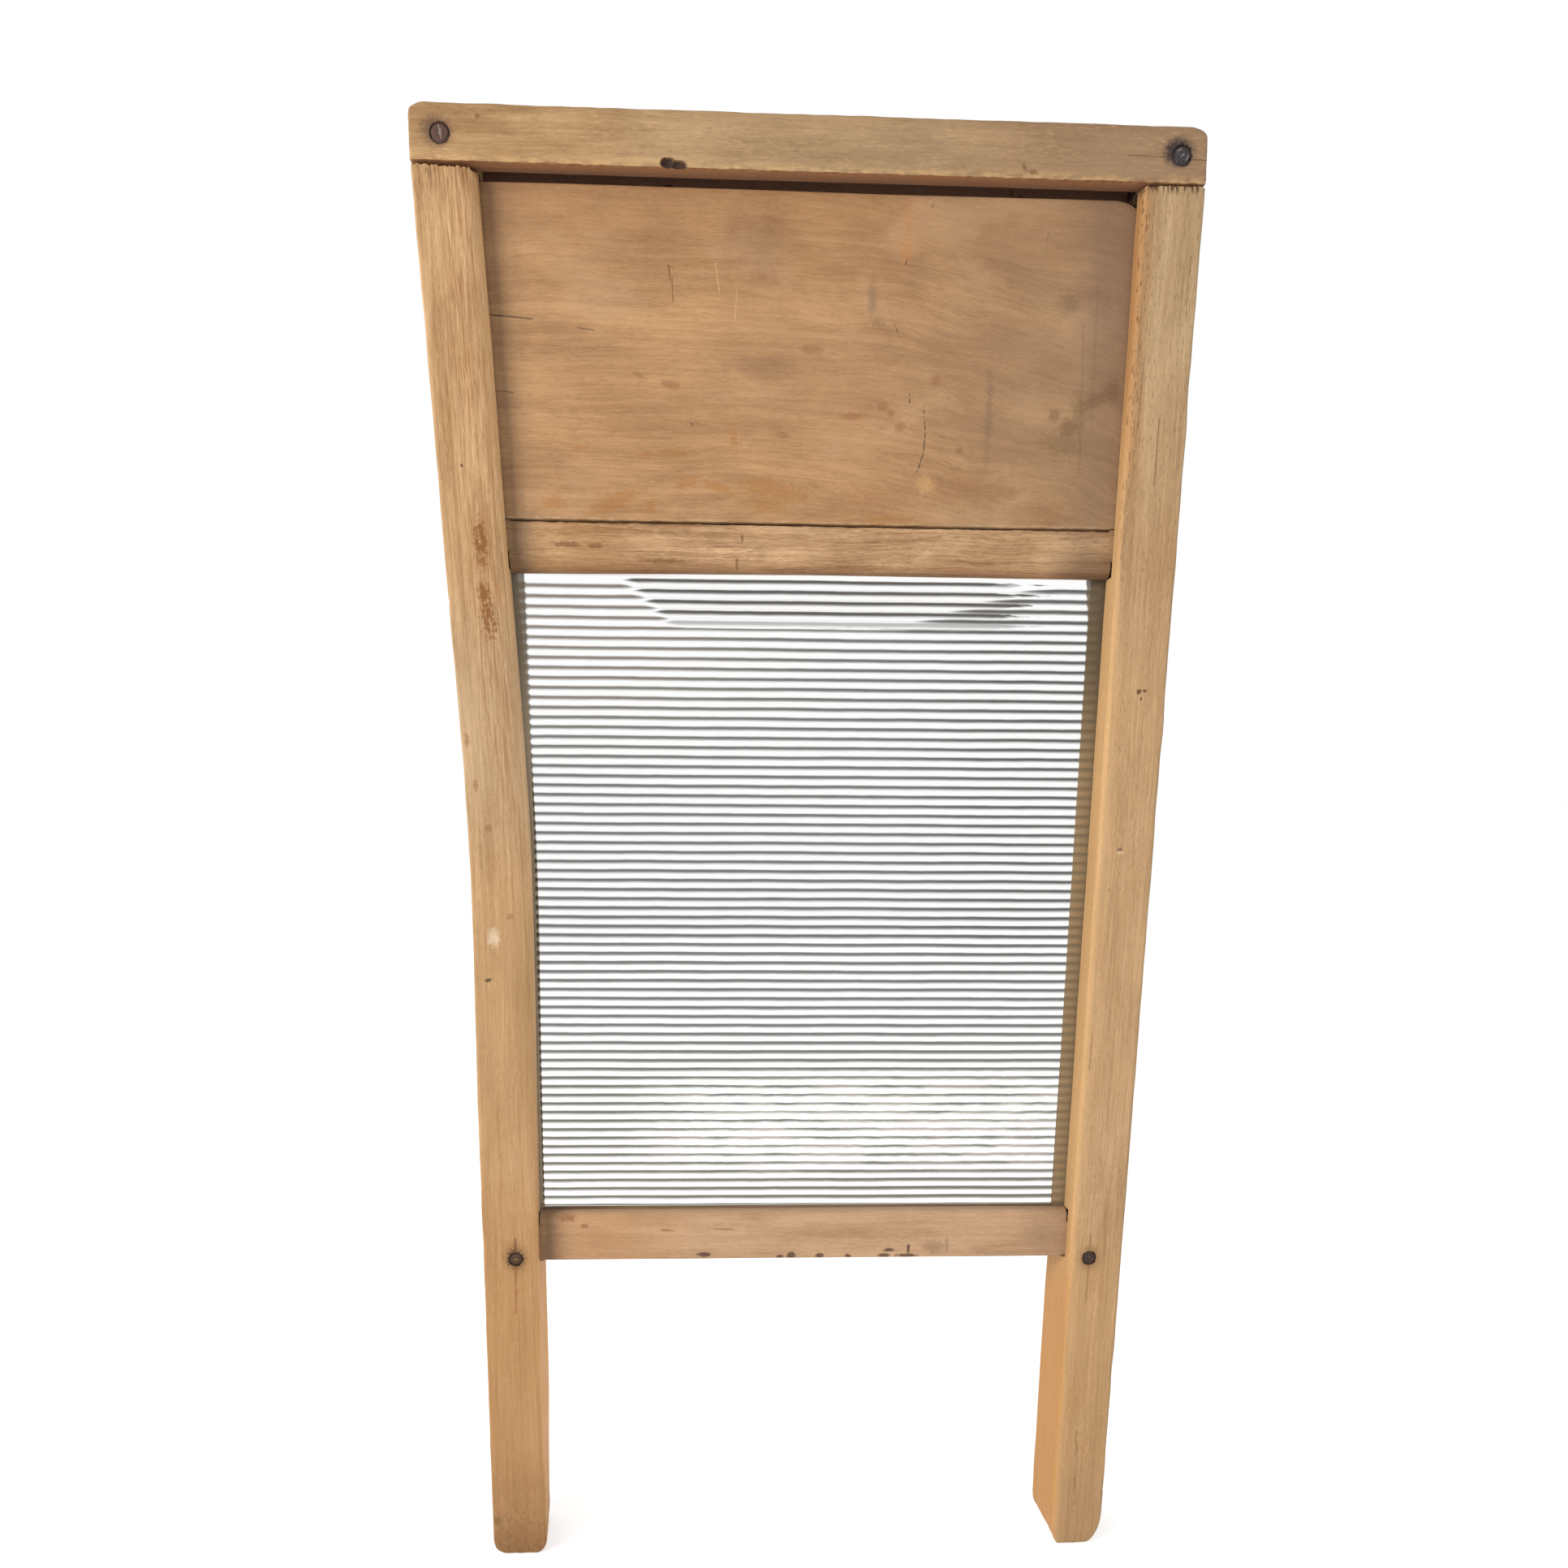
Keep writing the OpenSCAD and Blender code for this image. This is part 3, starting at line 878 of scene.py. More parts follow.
def left_stile_wood():
    w = Wood("stile_left_wood", "Z", (212, 173, 127), (162, 122, 79), (140, 98, 58), 3.0,
             dashes=0.35, cloud=0.3)
    front = w.front()
    w.wash(w.z, 350, 300, (184, 142, 98), 0.45)
    w.stain(w.between(w.z, 240, 320, 30), (167, 140, 96), 0.2)
    w.wash(w.z, 205, 145, (180, 129, 74), 0.4)
    w.stain(w.between(w.z, 350, 440, 30), (188, 164, 132), 0.4)
    # Darker band by the inner edge where the front rounds over: partly the wood's own tone, partly painted
    # shade of the rounding turning away from the key light
    edge_band = w.times(w.step(w.x, LEFT_INNER - 9, LEFT_INNER - 3), w.step(w.z, 150, 330), front)
    w.stain(edge_band, (150, 116, 82), 0.28)
    fissures = w.noise((0.7, 3, 16), 3, 0.6, low=0.48, high=0.60)
    torn_band = w.times(w.between(w.x, LEFT_INNER - 15, LEFT_INNER - 3, 3), w.step(w.z, 310, 430), front)
    w.stain(w.times(fissures, torn_band), (150, 100, 55), 0.58)
    w.sink(w.times(fissures, torn_band), 0.8)
    ends = w.noise((0.8, 3, 9), 3, 0.6, low=0.48, high=0.6)
    w.stain(w.times(ends, w.step(w.z, SHOULDER - 16, SHOULDER - 1)), (110, 74, 46), 0.7)
    rust = w.noise((1.8, 3, 2.6), 4, 0.7, low=0.34, high=0.50)
    near = w.spots([(*upright(-136.0, 471), 2.6, 9), (*upright(-135.2, 451), 2.4, 4.5),
                    (*upright(-133.6, 441), 3.0, 8)], soft=1.0)
    w.stain(w.times(near, rust), (134, 85, 39), 0.95)
    w.blots([(*upright(-144.5, 391), 1.0, 2.6), (*upright(-141.6, 372), 1.0, 2.2),
             (*upright(-136.8, 354), 1.4, 1.4), (*upright(-128.6, 315.5), 1.5, 1.2)],
            (140, 90, 48), 0.5, soft=1.0)
    w.blots([(*upright(-136.0, 306.5), 2.4, 3.4)], (226, 204, 174), 0.7, soft=1.2)
    w.blots([(-139.5, 287.2, 1.5, 0.8, 20), (*upright(-142.7, 500.5), 0.6, 0.7)],
            (76, 56, 34), 0.85, ragged=0.2)
    nail = nail_centre("nail_leg_left")[0]
    w.blots([(nail.x, nail.z + 0.4, 5.0, 6.4)], (110, 74, 42), 0.6, soft=1.3, ragged=0.15)
    w.blots([(nail.x - 0.3, nail.z + 0.4, 4.1, 4.3)], (86, 60, 36), 0.7, soft=0.45, ragged=0.35)
    w.nail_hole("nail_leg_left", (62, 43, 28))
    w.scratches([(nail.x, nail.z, nail.x + 0.1, 165, 1.2)], (100, 66, 38), 0.6)
    w.scratches([(nail.x, nail.z, nail.x - 0.8, 128, 1.3)], (150, 92, 46), 0.5)
    w.wash(w.z, 66, 34, (160, 118, 78), 0.5)
    w.wash(w.z, 26, 2, (122, 82, 46), 0.5)
    soil = w.noise((2.0, 3, 2.0), 4, 0.7, low=0.45, high=0.7)
    w.stain(w.times(soil, w.step(w.z, 46, 8)), (112, 76, 42), 0.45)
    w.blots([(-143.6, 18.4, 2.0, 2.6)], (112, 90, 52), 0.5, soft=1.0)
    # Painted light: the inner face, turned away from the key light, is brightened so that it shows about as
    # light as the front
    inner = w.facing((1, 0, 0), 0.1, 0.95)
    w.lighten(inner, LIT / SHADE)
    # Painted shade: where the inner face lies behind the glass it is darkened and greyed again
    beside_glass = w.times(inner, w.step(w.z, BOTTOM_HIGH.z - 1, BOTTOM_HIGH.z),
                           w.step(w.z, MID_LOW.z + 1, MID_LOW.z), w.step(w.y, GLASS_LOW.y - 2, GLASS_LOW.y))
    w.stain(beside_glass, (128, 114, 94, SHADE), 0.9)
    return w


def right_stile_wood():
    w = Wood("stile_right_wood", "Z", (211, 175, 133), (163, 126, 88), (108, 78, 50), 7.0,
             dashes=0.75, cloud=0.3)
    w.wash(w.z, 470, 560, (186, 168, 130), 0.24)
    w.stain(w.between(w.z, 200, 455, 40), (208, 166, 118), 0.35)
    w.stain(w.between(w.z, 450, 530, 30), (171, 135, 93), 0.22)
    w.wash(w.z, 210, 130, (198, 152, 98), 0.42)
    w.wash(w.z, 60, 20, (172, 136, 98), 0.45)
    edge = w.times(w.step(w.x, RIGHT_INNER + 9, RIGHT_INNER + 1), w.front())
    w.stain(w.times(edge, w.step(w.z, 460, 520)), (176, 120, 66), 0.45)
    w.stain(w.times(edge, w.step(w.z, 470, 400)), (222, 178, 124), 0.4)
    inner = w.facing((-1, 0, 0), 0.0, 1.0)
    w.stain(inner, (214, 168, 112), 0.65)
    w.stain(w.times(inner, w.step(w.z, 175, 120)), (190, 130, 66), 0.6)
    w.stain(w.times(inner, w.step(w.z, 470, 560)), (160, 106, 56), 0.6)
    # Painted shade: the inner face behind the glass is darker and greyer
    behind_glass = w.times(inner, w.step(w.y, GLASS_LOW.y, GLASS_LOW.y + 2))
    w.stain(w.times(behind_glass, w.step(w.z, BOTTOM_HIGH.z, 190)), (120, 98, 72), 0.85)
    # Painted shade deep in the top corner of the inner face, by the soap board's groove
    painted_corner_shade = w.times(inner, w.step(w.z, 596, 604), w.step(w.y, RECESS - 1, RECESS + 1))
    w.stain(painted_corner_shade, (64, 44, 34), 0.95)
    ticks = w.noise((0.5, 3, 3.4), 2, 0.5, low=0.56, high=0.64)
    w.stain(w.times(ticks, edge, w.step(w.z, 440, 520)), (104, 66, 36), 0.7)
    ends = w.noise((0.8, 3, 4), 3, 0.6, low=0.47, high=0.55)
    w.stain(w.times(ends, w.step(w.z, SHOULDER - 5, SHOULDER - 1)), (70, 46, 30), 0.9)
    w.blots([(146.6, 414.6, 1.2, 0.9), (148.9, 415.0, 0.9, 0.6), (147.6, 411.5, 0.5, 0.9)],
            (90, 60, 36), 0.85)
    w.blots([(143.1, 346.6, 1.5, 0.8)], (128, 96, 84), 0.8)
    w.blots([(143.3, 345.4, 1.3, 0.7)], (228, 200, 170), 0.6)
    w.blots([(130.4, 607.5, 0.9, 2.0)], (216, 186, 150), 0.7)
    w.scratches([(146.6, 524, 146.4, 498, 0.5), (138.2, 545, 137.9, 520, 0.45),
                 (154.6, 585, 154.4, 566, 0.4), (136.6, 262, 136.3, 246, 0.5)], (110, 76, 46), 0.6)
    foot_crack = w.times(w.streaks([(142.8, 62, 144.4, 22, 1.4)]), w.noise((0.9, 3, 8), 2))
    w.stain(foot_crack, (130, 94, 60), 0.6)
    nail = nail_centre("nail_leg_right")[0]
    w.blots([(nail.x, nail.z, 4.6, 5.2)], (116, 78, 44), 0.55, soft=1.3, ragged=0.15)
    w.nail_hole("nail_leg_right", (60, 40, 31))
    w.scratches([(nail.x, nail.z + 12, nail.x, nail.z - 22, 0.9)], (140, 98, 58), 0.5)
    return w


def rail_wood():
    w = Wood("cap_rail_wood", "X", (194, 157, 112), (142, 106, 66), (120, 86, 54), 11.0,
             contrast=0.75, dashes=0.35, cloud=0.5)
    w.wash(w.x, -20, 130, (140, 113, 92), 0.56)
    w.stain(w.between(w.x, -70, 60, 40), (186, 174, 149), 0.16)
    w.wash(w.z, TOP - 6, TOP, (140, 106, 72), 0.3)
    fuzz = w.noise((5, 1.0, 0.8), 3, 0.6, low=0.52, high=0.66)
    w.stain(w.times(fuzz, w.noise((50, 14, 9), 2, low=0.4, high=0.6)), (208, 172, 124), 0.35)
    chipped = w.noise((9, 3, 2), 3, low=0.35, high=0.6)
    w.stain(w.times(w.step(w.z, SHOULDER + 4, SHOULDER + 0.5), chipped, w.front()), (208, 170, 118), 0.6)
    under = w.facing((0, 0, -1), 0.3, 0.8)
    # Underside: reddish, and darkened with painted shade, more so towards the back
    w.stain(under, (129, 89, 59, SHADE), 0.9)
    w.stain(w.times(under, w.step(w.y, FRONT + 1, RECESS)), (84, 56, 42, SHADE), 0.5)
    # Painted shade on the back wall of the groove under the rail, above the soap board
    w.stain(w.times(w.step(w.y, RECESS, RECESS + 1), w.front()), (64, 45, 35, DEEP), 0.97)
    left, right = nail_centre("nail_top_left")[0], nail_centre("nail_top_right")[0]
    w.blots([(left.x - 1.3, left.z + 0.9, 5.4, 5.0)], (92, 66, 52), 0.75, soft=1.0, ragged=0.2)
    w.nail_hole("nail_top_left", (80, 56, 46))
    w.blots([(right.x - 1.3, right.z + 1.2, 5.8, 5.0)], (58, 46, 46), 0.85, soft=0.9, ragged=0.15)
    w.blots([(right.x - 2.4, right.z + 1.0, 4.0, 3.8)], (58, 48, 48), 0.7, soft=0.5, ragged=0.3)
    w.nail_hole("nail_top_right", (46, 38, 38))
    w.blots([(-57.9, 612.8, 3.1, 1.8), (-53.6, 612.1, 3.3, 1.6)], (54, 34, 28), 0.97,
            soft=0.25, ragged=0.1)
    w.scratches([(right.x, 619.9, 159, 619.5, 0.5), (126, 620.6, right.x, 620.2, 0.35)],
                (84, 60, 46), 0.65)
    w.blots([(-131.9, 626.7, 0.9, 0.8), (88.0, 613.6, 1.6, 1.0), (84.5, 615.0, 0.9, 1.6, 30)],
            (108, 74, 48), 0.6)
    return w


def board_wood():
    w = Wood("wash_board_wood", "X", (200, 156, 110), (152, 112, 76), (128, 90, 58), 17.0,
             contrast=0.85, dashes=0.4, cloud=0.38, wave=(11, 2.2, -20, 90, 0.0011))
    w.wash(w.z, 560, 604, (150, 107, 68), 0.38)
    w.wash(w.x, 10, 100, (148, 124, 100), 0.34)
    w.stain(w.times(w.between(w.z, 520, 560, 16), w.step(w.x, -70, 0)), (150, 116, 88), 0.22)
    blotches = w.noise((26, 20, 18), 4, 0.6, low=0.46, high=0.64)
    w.stain(w.times(blotches, w.step(w.z, 490, 560)), (136, 98, 70), 0.16)
    w.stain(w.noise((44, 20, 30), 3, 0.6, low=0.50, high=0.68), (202, 164, 126), 0.28)
    # Painted shadow of the left stile along the board's left side
    w.stile_shadow(SEAM, SHOULDER, 0.43)
    w.wash(w.x, 106, 124, (122, 96, 76), 0.34)
    w.stain(w.times(w.step(w.x, 104, 122), w.step(w.z, 530, 570)), (120, 92, 80), 0.25)
    # Soft dark patches, then brown spots
    w.blots([(-20, 588, 13, 11), (-17, 542, 13, 5)], (120, 84, 64), 0.35, soft=1.7, size=(9, 9, 9))
    w.blots([(-57, 535.2, 4.0, 1.5, -12), (-70, 538.6, 2.5, 0.8, -30), (-10.7, 517.2, 2.6, 1.4, -10),
             (1.2, 550, 4.5, 2.0), (35, 526, 1.5, 1.2), (64.6, 512.4, 1.7, 1.4)],
            (142, 98, 60), 0.5, soft=0.8, ragged=0.3)
    # Orange stains low on the left, and brown ones low on the right
    w.blots([(-80.5, 489.6, 10.5, 2.6, 20), (-50.4, 497.8, 4.4, 2.4), (-37, 496.2, 7, 1.7, -14),
             (-56, 509, 5.5, 1.2), (-67.4, 507.8, 2.5, 1.4), (-94.4, 510.3, 3.2, 1.1),
             (-65.5, 488.4, 1.7, 3), (-18, 496.6, 9, 3.2), (-8, 494, 8, 3.4), (-16, 489.5, 7, 2.6),
             (-30.8, 515.6, 1.3, 3.6), (-106, 489, 5, 3), (36, 484, 10, 2)], (168, 114, 60), 0.5, soft=0.8)
    w.blots([(71, 497, 17, 7), (30, 492, 14, 5), (100, 488, 12, 5)], (150, 104, 66), 0.4,
            soft=1.5, size=(4, 4, 2))
    w.blots([(53.4, 539.1, 2.1, 1.9), (39.1, 521.1, 2.0, 1.9), (31.6, 528.7, 2.6, 1.6),
             (19.1, 525, 4.8, 1.3)], (150, 98, 60), 0.5, soft=0.9, ragged=0.35)
    w.scratches([(53.8, 540, 58.5, 556, 0.7)], (150, 104, 72), 0.25)
    w.blots([(39.4, 588, 2.4, 4.6), (39.9, 598, 1.4, 6)], (202, 128, 62), 0.32, soft=1.6)
    w.blots([(50.6, 498.6, 3.6, 3.4)], (220, 172, 112), 0.4, soft=1.2)
    # Grey smudges and knots on the right
    w.blots([(25.8, 570, 1.7, 7), (28.2, 561, 2.6, 1.8), (108, 569.5, 4.0, 3.4), (76.5, 526, 1.4, 15)],
            (96, 78, 68), 0.32, soft=1.6)
    w.blots([(128.2, 536.4, 3.6, 4.6), (122, 533, 6.0, 2.6, 30), (104.3, 526.8, 2.4, 2.2),
             (110.5, 522.5, 3.4, 3.0)], (110, 78, 52), 0.5, soft=1.1, ragged=0.35)
    w.blots([(108, 515.5, 8.5, 4.4, -12), (115, 528, 3.0, 8)], (116, 92, 60), 0.4, soft=1.3)
    w.scratches([(114.5, 562, 116.4, 506, 1.2), (119.5, 575, 120.4, 520, 1.0)], (110, 86, 72), 0.2)
    # Thin dark cracks, brown and pale scratches, and dark hairlines on the left
    w.scratches([(48.7, 529.5, 49.9, 519, 0.5), (49.9, 519, 49.4, 511, 0.7),
                 (49.4, 511, 46.9, 503.5, 0.55), (35.6, 560, 37.6, 555.2, 0.45),
                 (42.6, 534, 42.8, 530.4, 0.6), (39.6, 584, 39.1, 582.2, 0.5),
                 (50, 605.5, 49.3, 603.6, 0.5), (97.6, 595.5, 97.1, 592.5, 0.4)],
                (66, 50, 46), 0.8, ragged=0.8)
    w.scratches([(-57.9, 580, -57.2, 574, 0.55), (-56.4, 575.4, -56.0, 566.8, 0.55)],
                (104, 72, 42), 0.6)
    w.scratches([(-38.9, 581, -37.0, 570.5, 0.5), (-29.9, 572, -30.5, 560, 0.4)],
                (220, 180, 134), 0.45)
    w.scratches([(-133, 560.0, -113.5, 558.6, 0.6), (-95, 555.8, -88, 555.0, 0.45),
                 (-48.6, 520.9, -47.9, 520.2, 0.7), (-130, 531.6, -122, 531.0, 0.4)],
                (76, 56, 42), 0.7)
    # Paler, worn lower edge
    edge_band = w.times(w.step(w.z, SEAM + 2.2, SEAM + 0.4), w.noise((5, 3, 2), 3, low=0.4, high=0.6))
    w.stain(edge_band, (206, 174, 132), 0.45)
    return w


def mid_rail_wood():
    w = Wood("hold_rail_wood", "X", (220, 180, 136), (142, 101, 65), (112, 76, 44), 23.0,
             contrast=1.05, dashes=0.55, coarse=0.55, cloud=0.4, wave=(2.6, 1.0, -130, 0))
    w.wash(w.z, MID_LOW.z + 5, MID_LOW.z + 1, (150, 102, 66), 0.4)
    w.wash(w.x, -60, -100, (172, 126, 74), 0.35)
    # Painted shadow of the left stile over the rail's left end
    w.stile_shadow(MID_LOW.z, SEAM, 0.76)
    right_part = w.step(w.x, 98, 122)
    w.stain(right_part, (122, 92, 68), 0.4)
    w.stain(w.times(right_part, w.step(w.z, 476, 468)), (96, 68, 48), 0.45)
    w.blots([(-101.5, 472.6, 5.5, 1.1), (-88.5, 472.2, 4.0, 1.0), (-29.0, 465.8, 0.6, 2.2),
             (-60, 466.5, 9, 0.8), (-26.8, 476, 0.5, 1.4)], (116, 76, 42), 0.65, soft=0.8)
    # Darker, uneven top edge at the seam with the board
    edge_band = w.times(w.step(w.z, SEAM - 2.0, SEAM - 0.4), w.noise((6, 3, 2), 3, low=0.42, high=0.6))
    w.stain(edge_band, (104, 74, 48), 0.5)
    return w


def bottom_rail_wood():
    w = Wood("foot_rail_wood", "X", (212, 173, 136), (170, 132, 97), (150, 108, 70), 29.0,
             contrast=0.75, dashes=0.3, coarse=1.2, cloud=0.5)
    w.wash(w.x, -40, -85, (184, 134, 84), 0.4)
    # Painted shadow of the left stile over the rail's left end
    w.stile_shadow(BOTTOM_LOW.z, BOTTOM_HIGH.z, 0.66)
    w.wash(w.x, 104, 124, (130, 100, 74), 0.3)
    w.wash(w.z, BOTTOM_HIGH.z - 2, BOTTOM_HIGH.z, (176, 148, 122), 0.4)
    w.blots([(-107.0, 172.6, 4.0, 1.8), (-98.9, 168.6, 1.4, 1.1), (-60, 166.2, 3.4, 0.5, -4),
             (-33, 166.6, 5.0, 0.45, -2)], (138, 82, 42), 0.6, soft=0.9)
    # Dark chips along the lower edge, then a grey smudge
    w.blots([(-41.9, 153.8, 3.4, 1.2), (-0.2, 153.0, 1.8, 1.8), (-5.5, 152.4, 1.6, 0.9),
             (13.6, 152.8, 2.2, 1.2), (27.3, 152.6, 1.5, 0.9), (44.5, 152.8, 3.0, 1.0),
             (47.0, 155.4, 2.4, 0.9), (56.5, 156.0, 0.7, 2.4), (55.5, 152.6, 5.0, 0.9),
             (132.0, 151.4, 1.4, 1.4)], (70, 42, 32), 0.8, soft=0.7, ragged=0.3)
    w.blots([(69, 156.5, 5.0, 3.2), (75, 158, 1.0, 4)], (116, 88, 76), 0.4, soft=1.4)
    return w


# For each nail: its rusty and bare colours, the colour and strength of the pale marks on its head, and their
# ends from the head's centre and width. The marks are scratches, and on the top right nail painted glints,
# highlights from the light.
NAIL_LOOKS = {
    "nail_top_left": ((97, 68, 57), (74, 50, 43), (190, 172, 160), 0.55,
                      [(-0.3, 2.6, 0.2, -0.6, 0.45), (0.5, 1.2, 0.6, -1.8, 0.3)]),
    "nail_top_right": ((74, 66, 68), (48, 43, 45), (200, 194, 192), 0.62,
                       [(-0.2, -0.3, 0.7, 0.5, 0.4), (-1.6, 1.6, -0.4, 2.4, 0.35),
                        (1.8, -1.6, 2.6, 0.2, 0.3)]),
    "nail_leg_left": ((90, 65, 42), (62, 43, 28), (132, 104, 70), 0.7,
                      [(-0.5, 0.2, 0.9, -0.3, 0.9)]),
    "nail_leg_right": ((76, 55, 47), (56, 38, 33), (118, 92, 76), 0.45,
                       [(-0.6, 0.5, 0.3, 0.9, 0.4)])}


def nail_iron(node, seed):
    rusty, bare, glint, strength, scratches = NAIL_LOOKS[node]
    p = Paint(node + "_iron", "object")
    p.shift = seed
    rust = p.noise((1.3, 1.3, 1.3), 4, 0.6)
    color = p.mix(seen(*bare), seen(*rusty), rust)
    centre, radius, _ = nail_centre(node)
    rim = p.spot(centre.x, centre.z, radius * 0.9, radius * 0.9, soft=0.5, ragged=0.1)
    color = p.mix(seen(50, 36, 28), color, p.plus(0.35, p.times(rim, 0.65)))
    lines = [(centre.x + x0, centre.z + z0, centre.x + x1, centre.z + z1, width)
             for x0, z0, x1, z1, width in scratches]
    # Pale scratches, and on the top right nail painted glints (highlights)
    color = p.mix(color, seen(*glint), p.times(p.streaks(lines), strength))
    normal = p.add("Bump", {"Strength": 0.6, "Distance": 0.35 * MM, "Height": rust})
    rough = p.plus(0.5, p.times(rust, 0.3))
    return p.surface(p.add("BsdfPrincipled", {
        "Base Color": color, "Roughness": rough, "Specular IOR Level": 0.25,
        "Normal": normal.outputs[0]}))


# The dark lines on the glass are painted in its material and stand in for the light its ribs bend away.
# They are counted in ribs down from the first valley. Behind the
# middle of the top ribs they sit higher than elsewhere.
USUAL = 0.03
SHIFTED = 0.45
SHIFTED_RIBS = 4.9
# Ends of the gap in the usual lines and left end of the shifted ones: X at the first
# valley, and how far each lies to the right of the one above
GAP_LEFT = (-76.0, 5.2)
GAP_RIGHT = (119.0, -15.0)
SHIFTED_LEFT = (-82.6, 4.4)
SHIFTED_RIGHT = 111.0
# Half widths of the lines, in ribs
USUAL_HALF = 0.19
GAP_THINNING = 0.26
SHIFTED_HALF = 0.33
# Stretch near the foot of the glass where the lines are wavy and pale
WAVY_Z = (196, 238)
# What the painted lines and the other painted shading let through
CLEAR = (0.99, 0.995, 0.99, 1)
LINE_GREY = (0.19, 0.185, 0.175, 1)
LINE_UPPER_LEFT = (0.285, 0.245, 0.21, 1)
LINE_RIGHT = (0.135, 0.13, 0.12, 1)
LINE_LOW = (0.19, 0.175, 0.145, 1)
LINE_WAVY = (0.44, 0.40, 0.36, 1)
LINE_SHIFTED = (0.085, 0.07, 0.06, 1)
WISP_GREY = (0.62, 0.58, 0.54, 1)
RAIL_SHADE = (0.42, 0.38, 0.34, 1)
FOOT_EDGE = (0.62, 0.62, 0.60, 1)


def dark_line(p, drop, offset, half, above=0.10, below=0.19):
    """Dark line below each rib: a sharp upper edge and a softer lower one."""
    away = p.minus(p.math("FRACT", p.plus(drop, 0.5 - offset)), 0.5)
    return p.times(p.step(p.plus(away, half), -above, above),
                   p.step(p.minus(away, half), below, -below))


def band_start(p):
    """Left end of the clear bands, which follows the bent stile."""
    above = p.math("MAXIMUM", p.minus(p.z, 362.0), 0.0)
    return p.slope(above, -118.9, -0.014)


def band_end(p):
    """Right end of the clear bands, drawn in at the top."""
    end = p.slope(p.minus(460.0, p.z), 126.3, 0.003)
    return p.plus(end, p.times(p.step(p.z, 445, 460), -1.3))


def glass_lines(p):
    """Masks of the usual lines, the shifted ones and the wavy stretch, and how many
    ribs down each place is."""
    slow = p.drift((40, 40, 16))
    quick = p.drift((8, 8, 2.5))
    wavy = p.times(p.between(p.z, *WAVY_Z, 10), p.step(p.x, -90, -30))
    wander = p.plus(p.times(slow, 0.3), p.times(quick, p.plus(0.12, p.times(wavy, 0.35))))
    fan = p.times(p.x, p.minus(p.z, 320), 2.4e-5)
    drop = p.times(p.minus(p.plus(p.plus(wander, fan), FIRST_RIB), p.z), 1 / RIB_PITCH)
    drop = p.plus(drop, p.times(p.step(p.z, 438, 460), 0.12))

    gap = p.times(p.step(p.minus(p.x, p.slope(drop, *GAP_LEFT)), -9, 1),
                  p.step(p.minus(p.x, p.slope(drop, *GAP_RIGHT)), 8, -20), p.step(drop, 5.3, 4.4))
    half = p.plus(USUAL_HALF, p.times(p.step(p.z, 350, 290), 0.025))
    flare = p.times(p.step(p.minus(p.x, band_start(p)), 1.1, 0.0), 0.14)
    half = p.plus(p.times(half, p.minus(1.0, p.times(wavy, 0.3))), flare)
    usual = dark_line(p, drop, USUAL, p.minus(half, p.times(gap, GAP_THINNING)))
    usual = p.times(usual, p.step(drop, 0.45, 0.55), p.step(gap, 0.8, 0.35))

    ragged = p.minus(p.noise((9, 9, 1.4), 2, low=0.3, high=0.7), 0.5)
    right_ends = p.slope(ragged, SHIFTED_RIGHT, 16.0)
    inside = p.times(p.step(p.minus(p.x, p.slope(drop, *SHIFTED_LEFT)), -1, 9),
                     p.step(p.minus(p.x, right_ends), 2, -26))
    shown = p.times(p.step(inside, 0.02, 0.3), p.step(drop, SHIFTED_RIBS, SHIFTED_RIBS - 0.1))
    shifted = dark_line(p, drop, SHIFTED, p.minus(p.times(inside, SHIFTED_HALF), 0.12), 0.09, 0.17)
    shifted = p.times(shifted, shown, p.minus(1.0, p.times(p.step(drop, 3.95, 4.1), 0.45)))
    return usual, shifted, wavy, drop


def glass_tint(p, usual, shifted, wavy, drop):
    """What the glass lets through, with its light and shade painted in: its valleys bend light away and look
    grey, so grey lines are painted into the tint, with grey wisps, shade under the mid rail and a grey edge
    at the foot.
    """
    grey = p.mix(LINE_GREY, LINE_UPPER_LEFT, p.times(p.step(p.z, 370, 440), p.step(p.x, 30, -110)))
    grey = p.mix(grey, LINE_RIGHT, p.times(p.step(p.x, 30, 100), p.step(p.z, 260, 330)))
    grey = p.mix(grey, LINE_LOW, p.step(p.z, 270, 190))
    pale = p.noise((30, 9, 7), 2, low=0.4, high=0.6)
    grey = p.mix(grey, LINE_WAVY, p.times(wavy, pale, 0.9))
    tint = p.mix(CLEAR, grey, usual)
    tint = p.mix(tint, LINE_SHIFTED, p.times(shifted, 0.95))
    # Grey wisps among the shifted lines, painted like the lines
    wisps = p.noise((14, 9, 0.7), 3, 0.6, low=0.50, high=0.60)
    wisp_band = p.times(wisps, p.between(p.x, 10, 70, 14), p.between(drop, 4.3, 5.0, 0.2))
    tint = p.mix(tint, WISP_GREY, p.times(wisp_band, 0.5))
    # Painted shade under the mid rail, on the left
    rail_shade = p.times(p.step(p.z, MID_LOW.z - 1.4, MID_LOW.z - 0.5), p.step(p.x, -40, -90))
    tint = p.mix(tint, RAIL_SHADE, p.times(rail_shade, 0.35))
    return p.mix(tint, FOOT_EDGE, p.step(p.z, BOTTOM_HIGH.z + 1.6, BOTTOM_HIGH.z + 0.6))


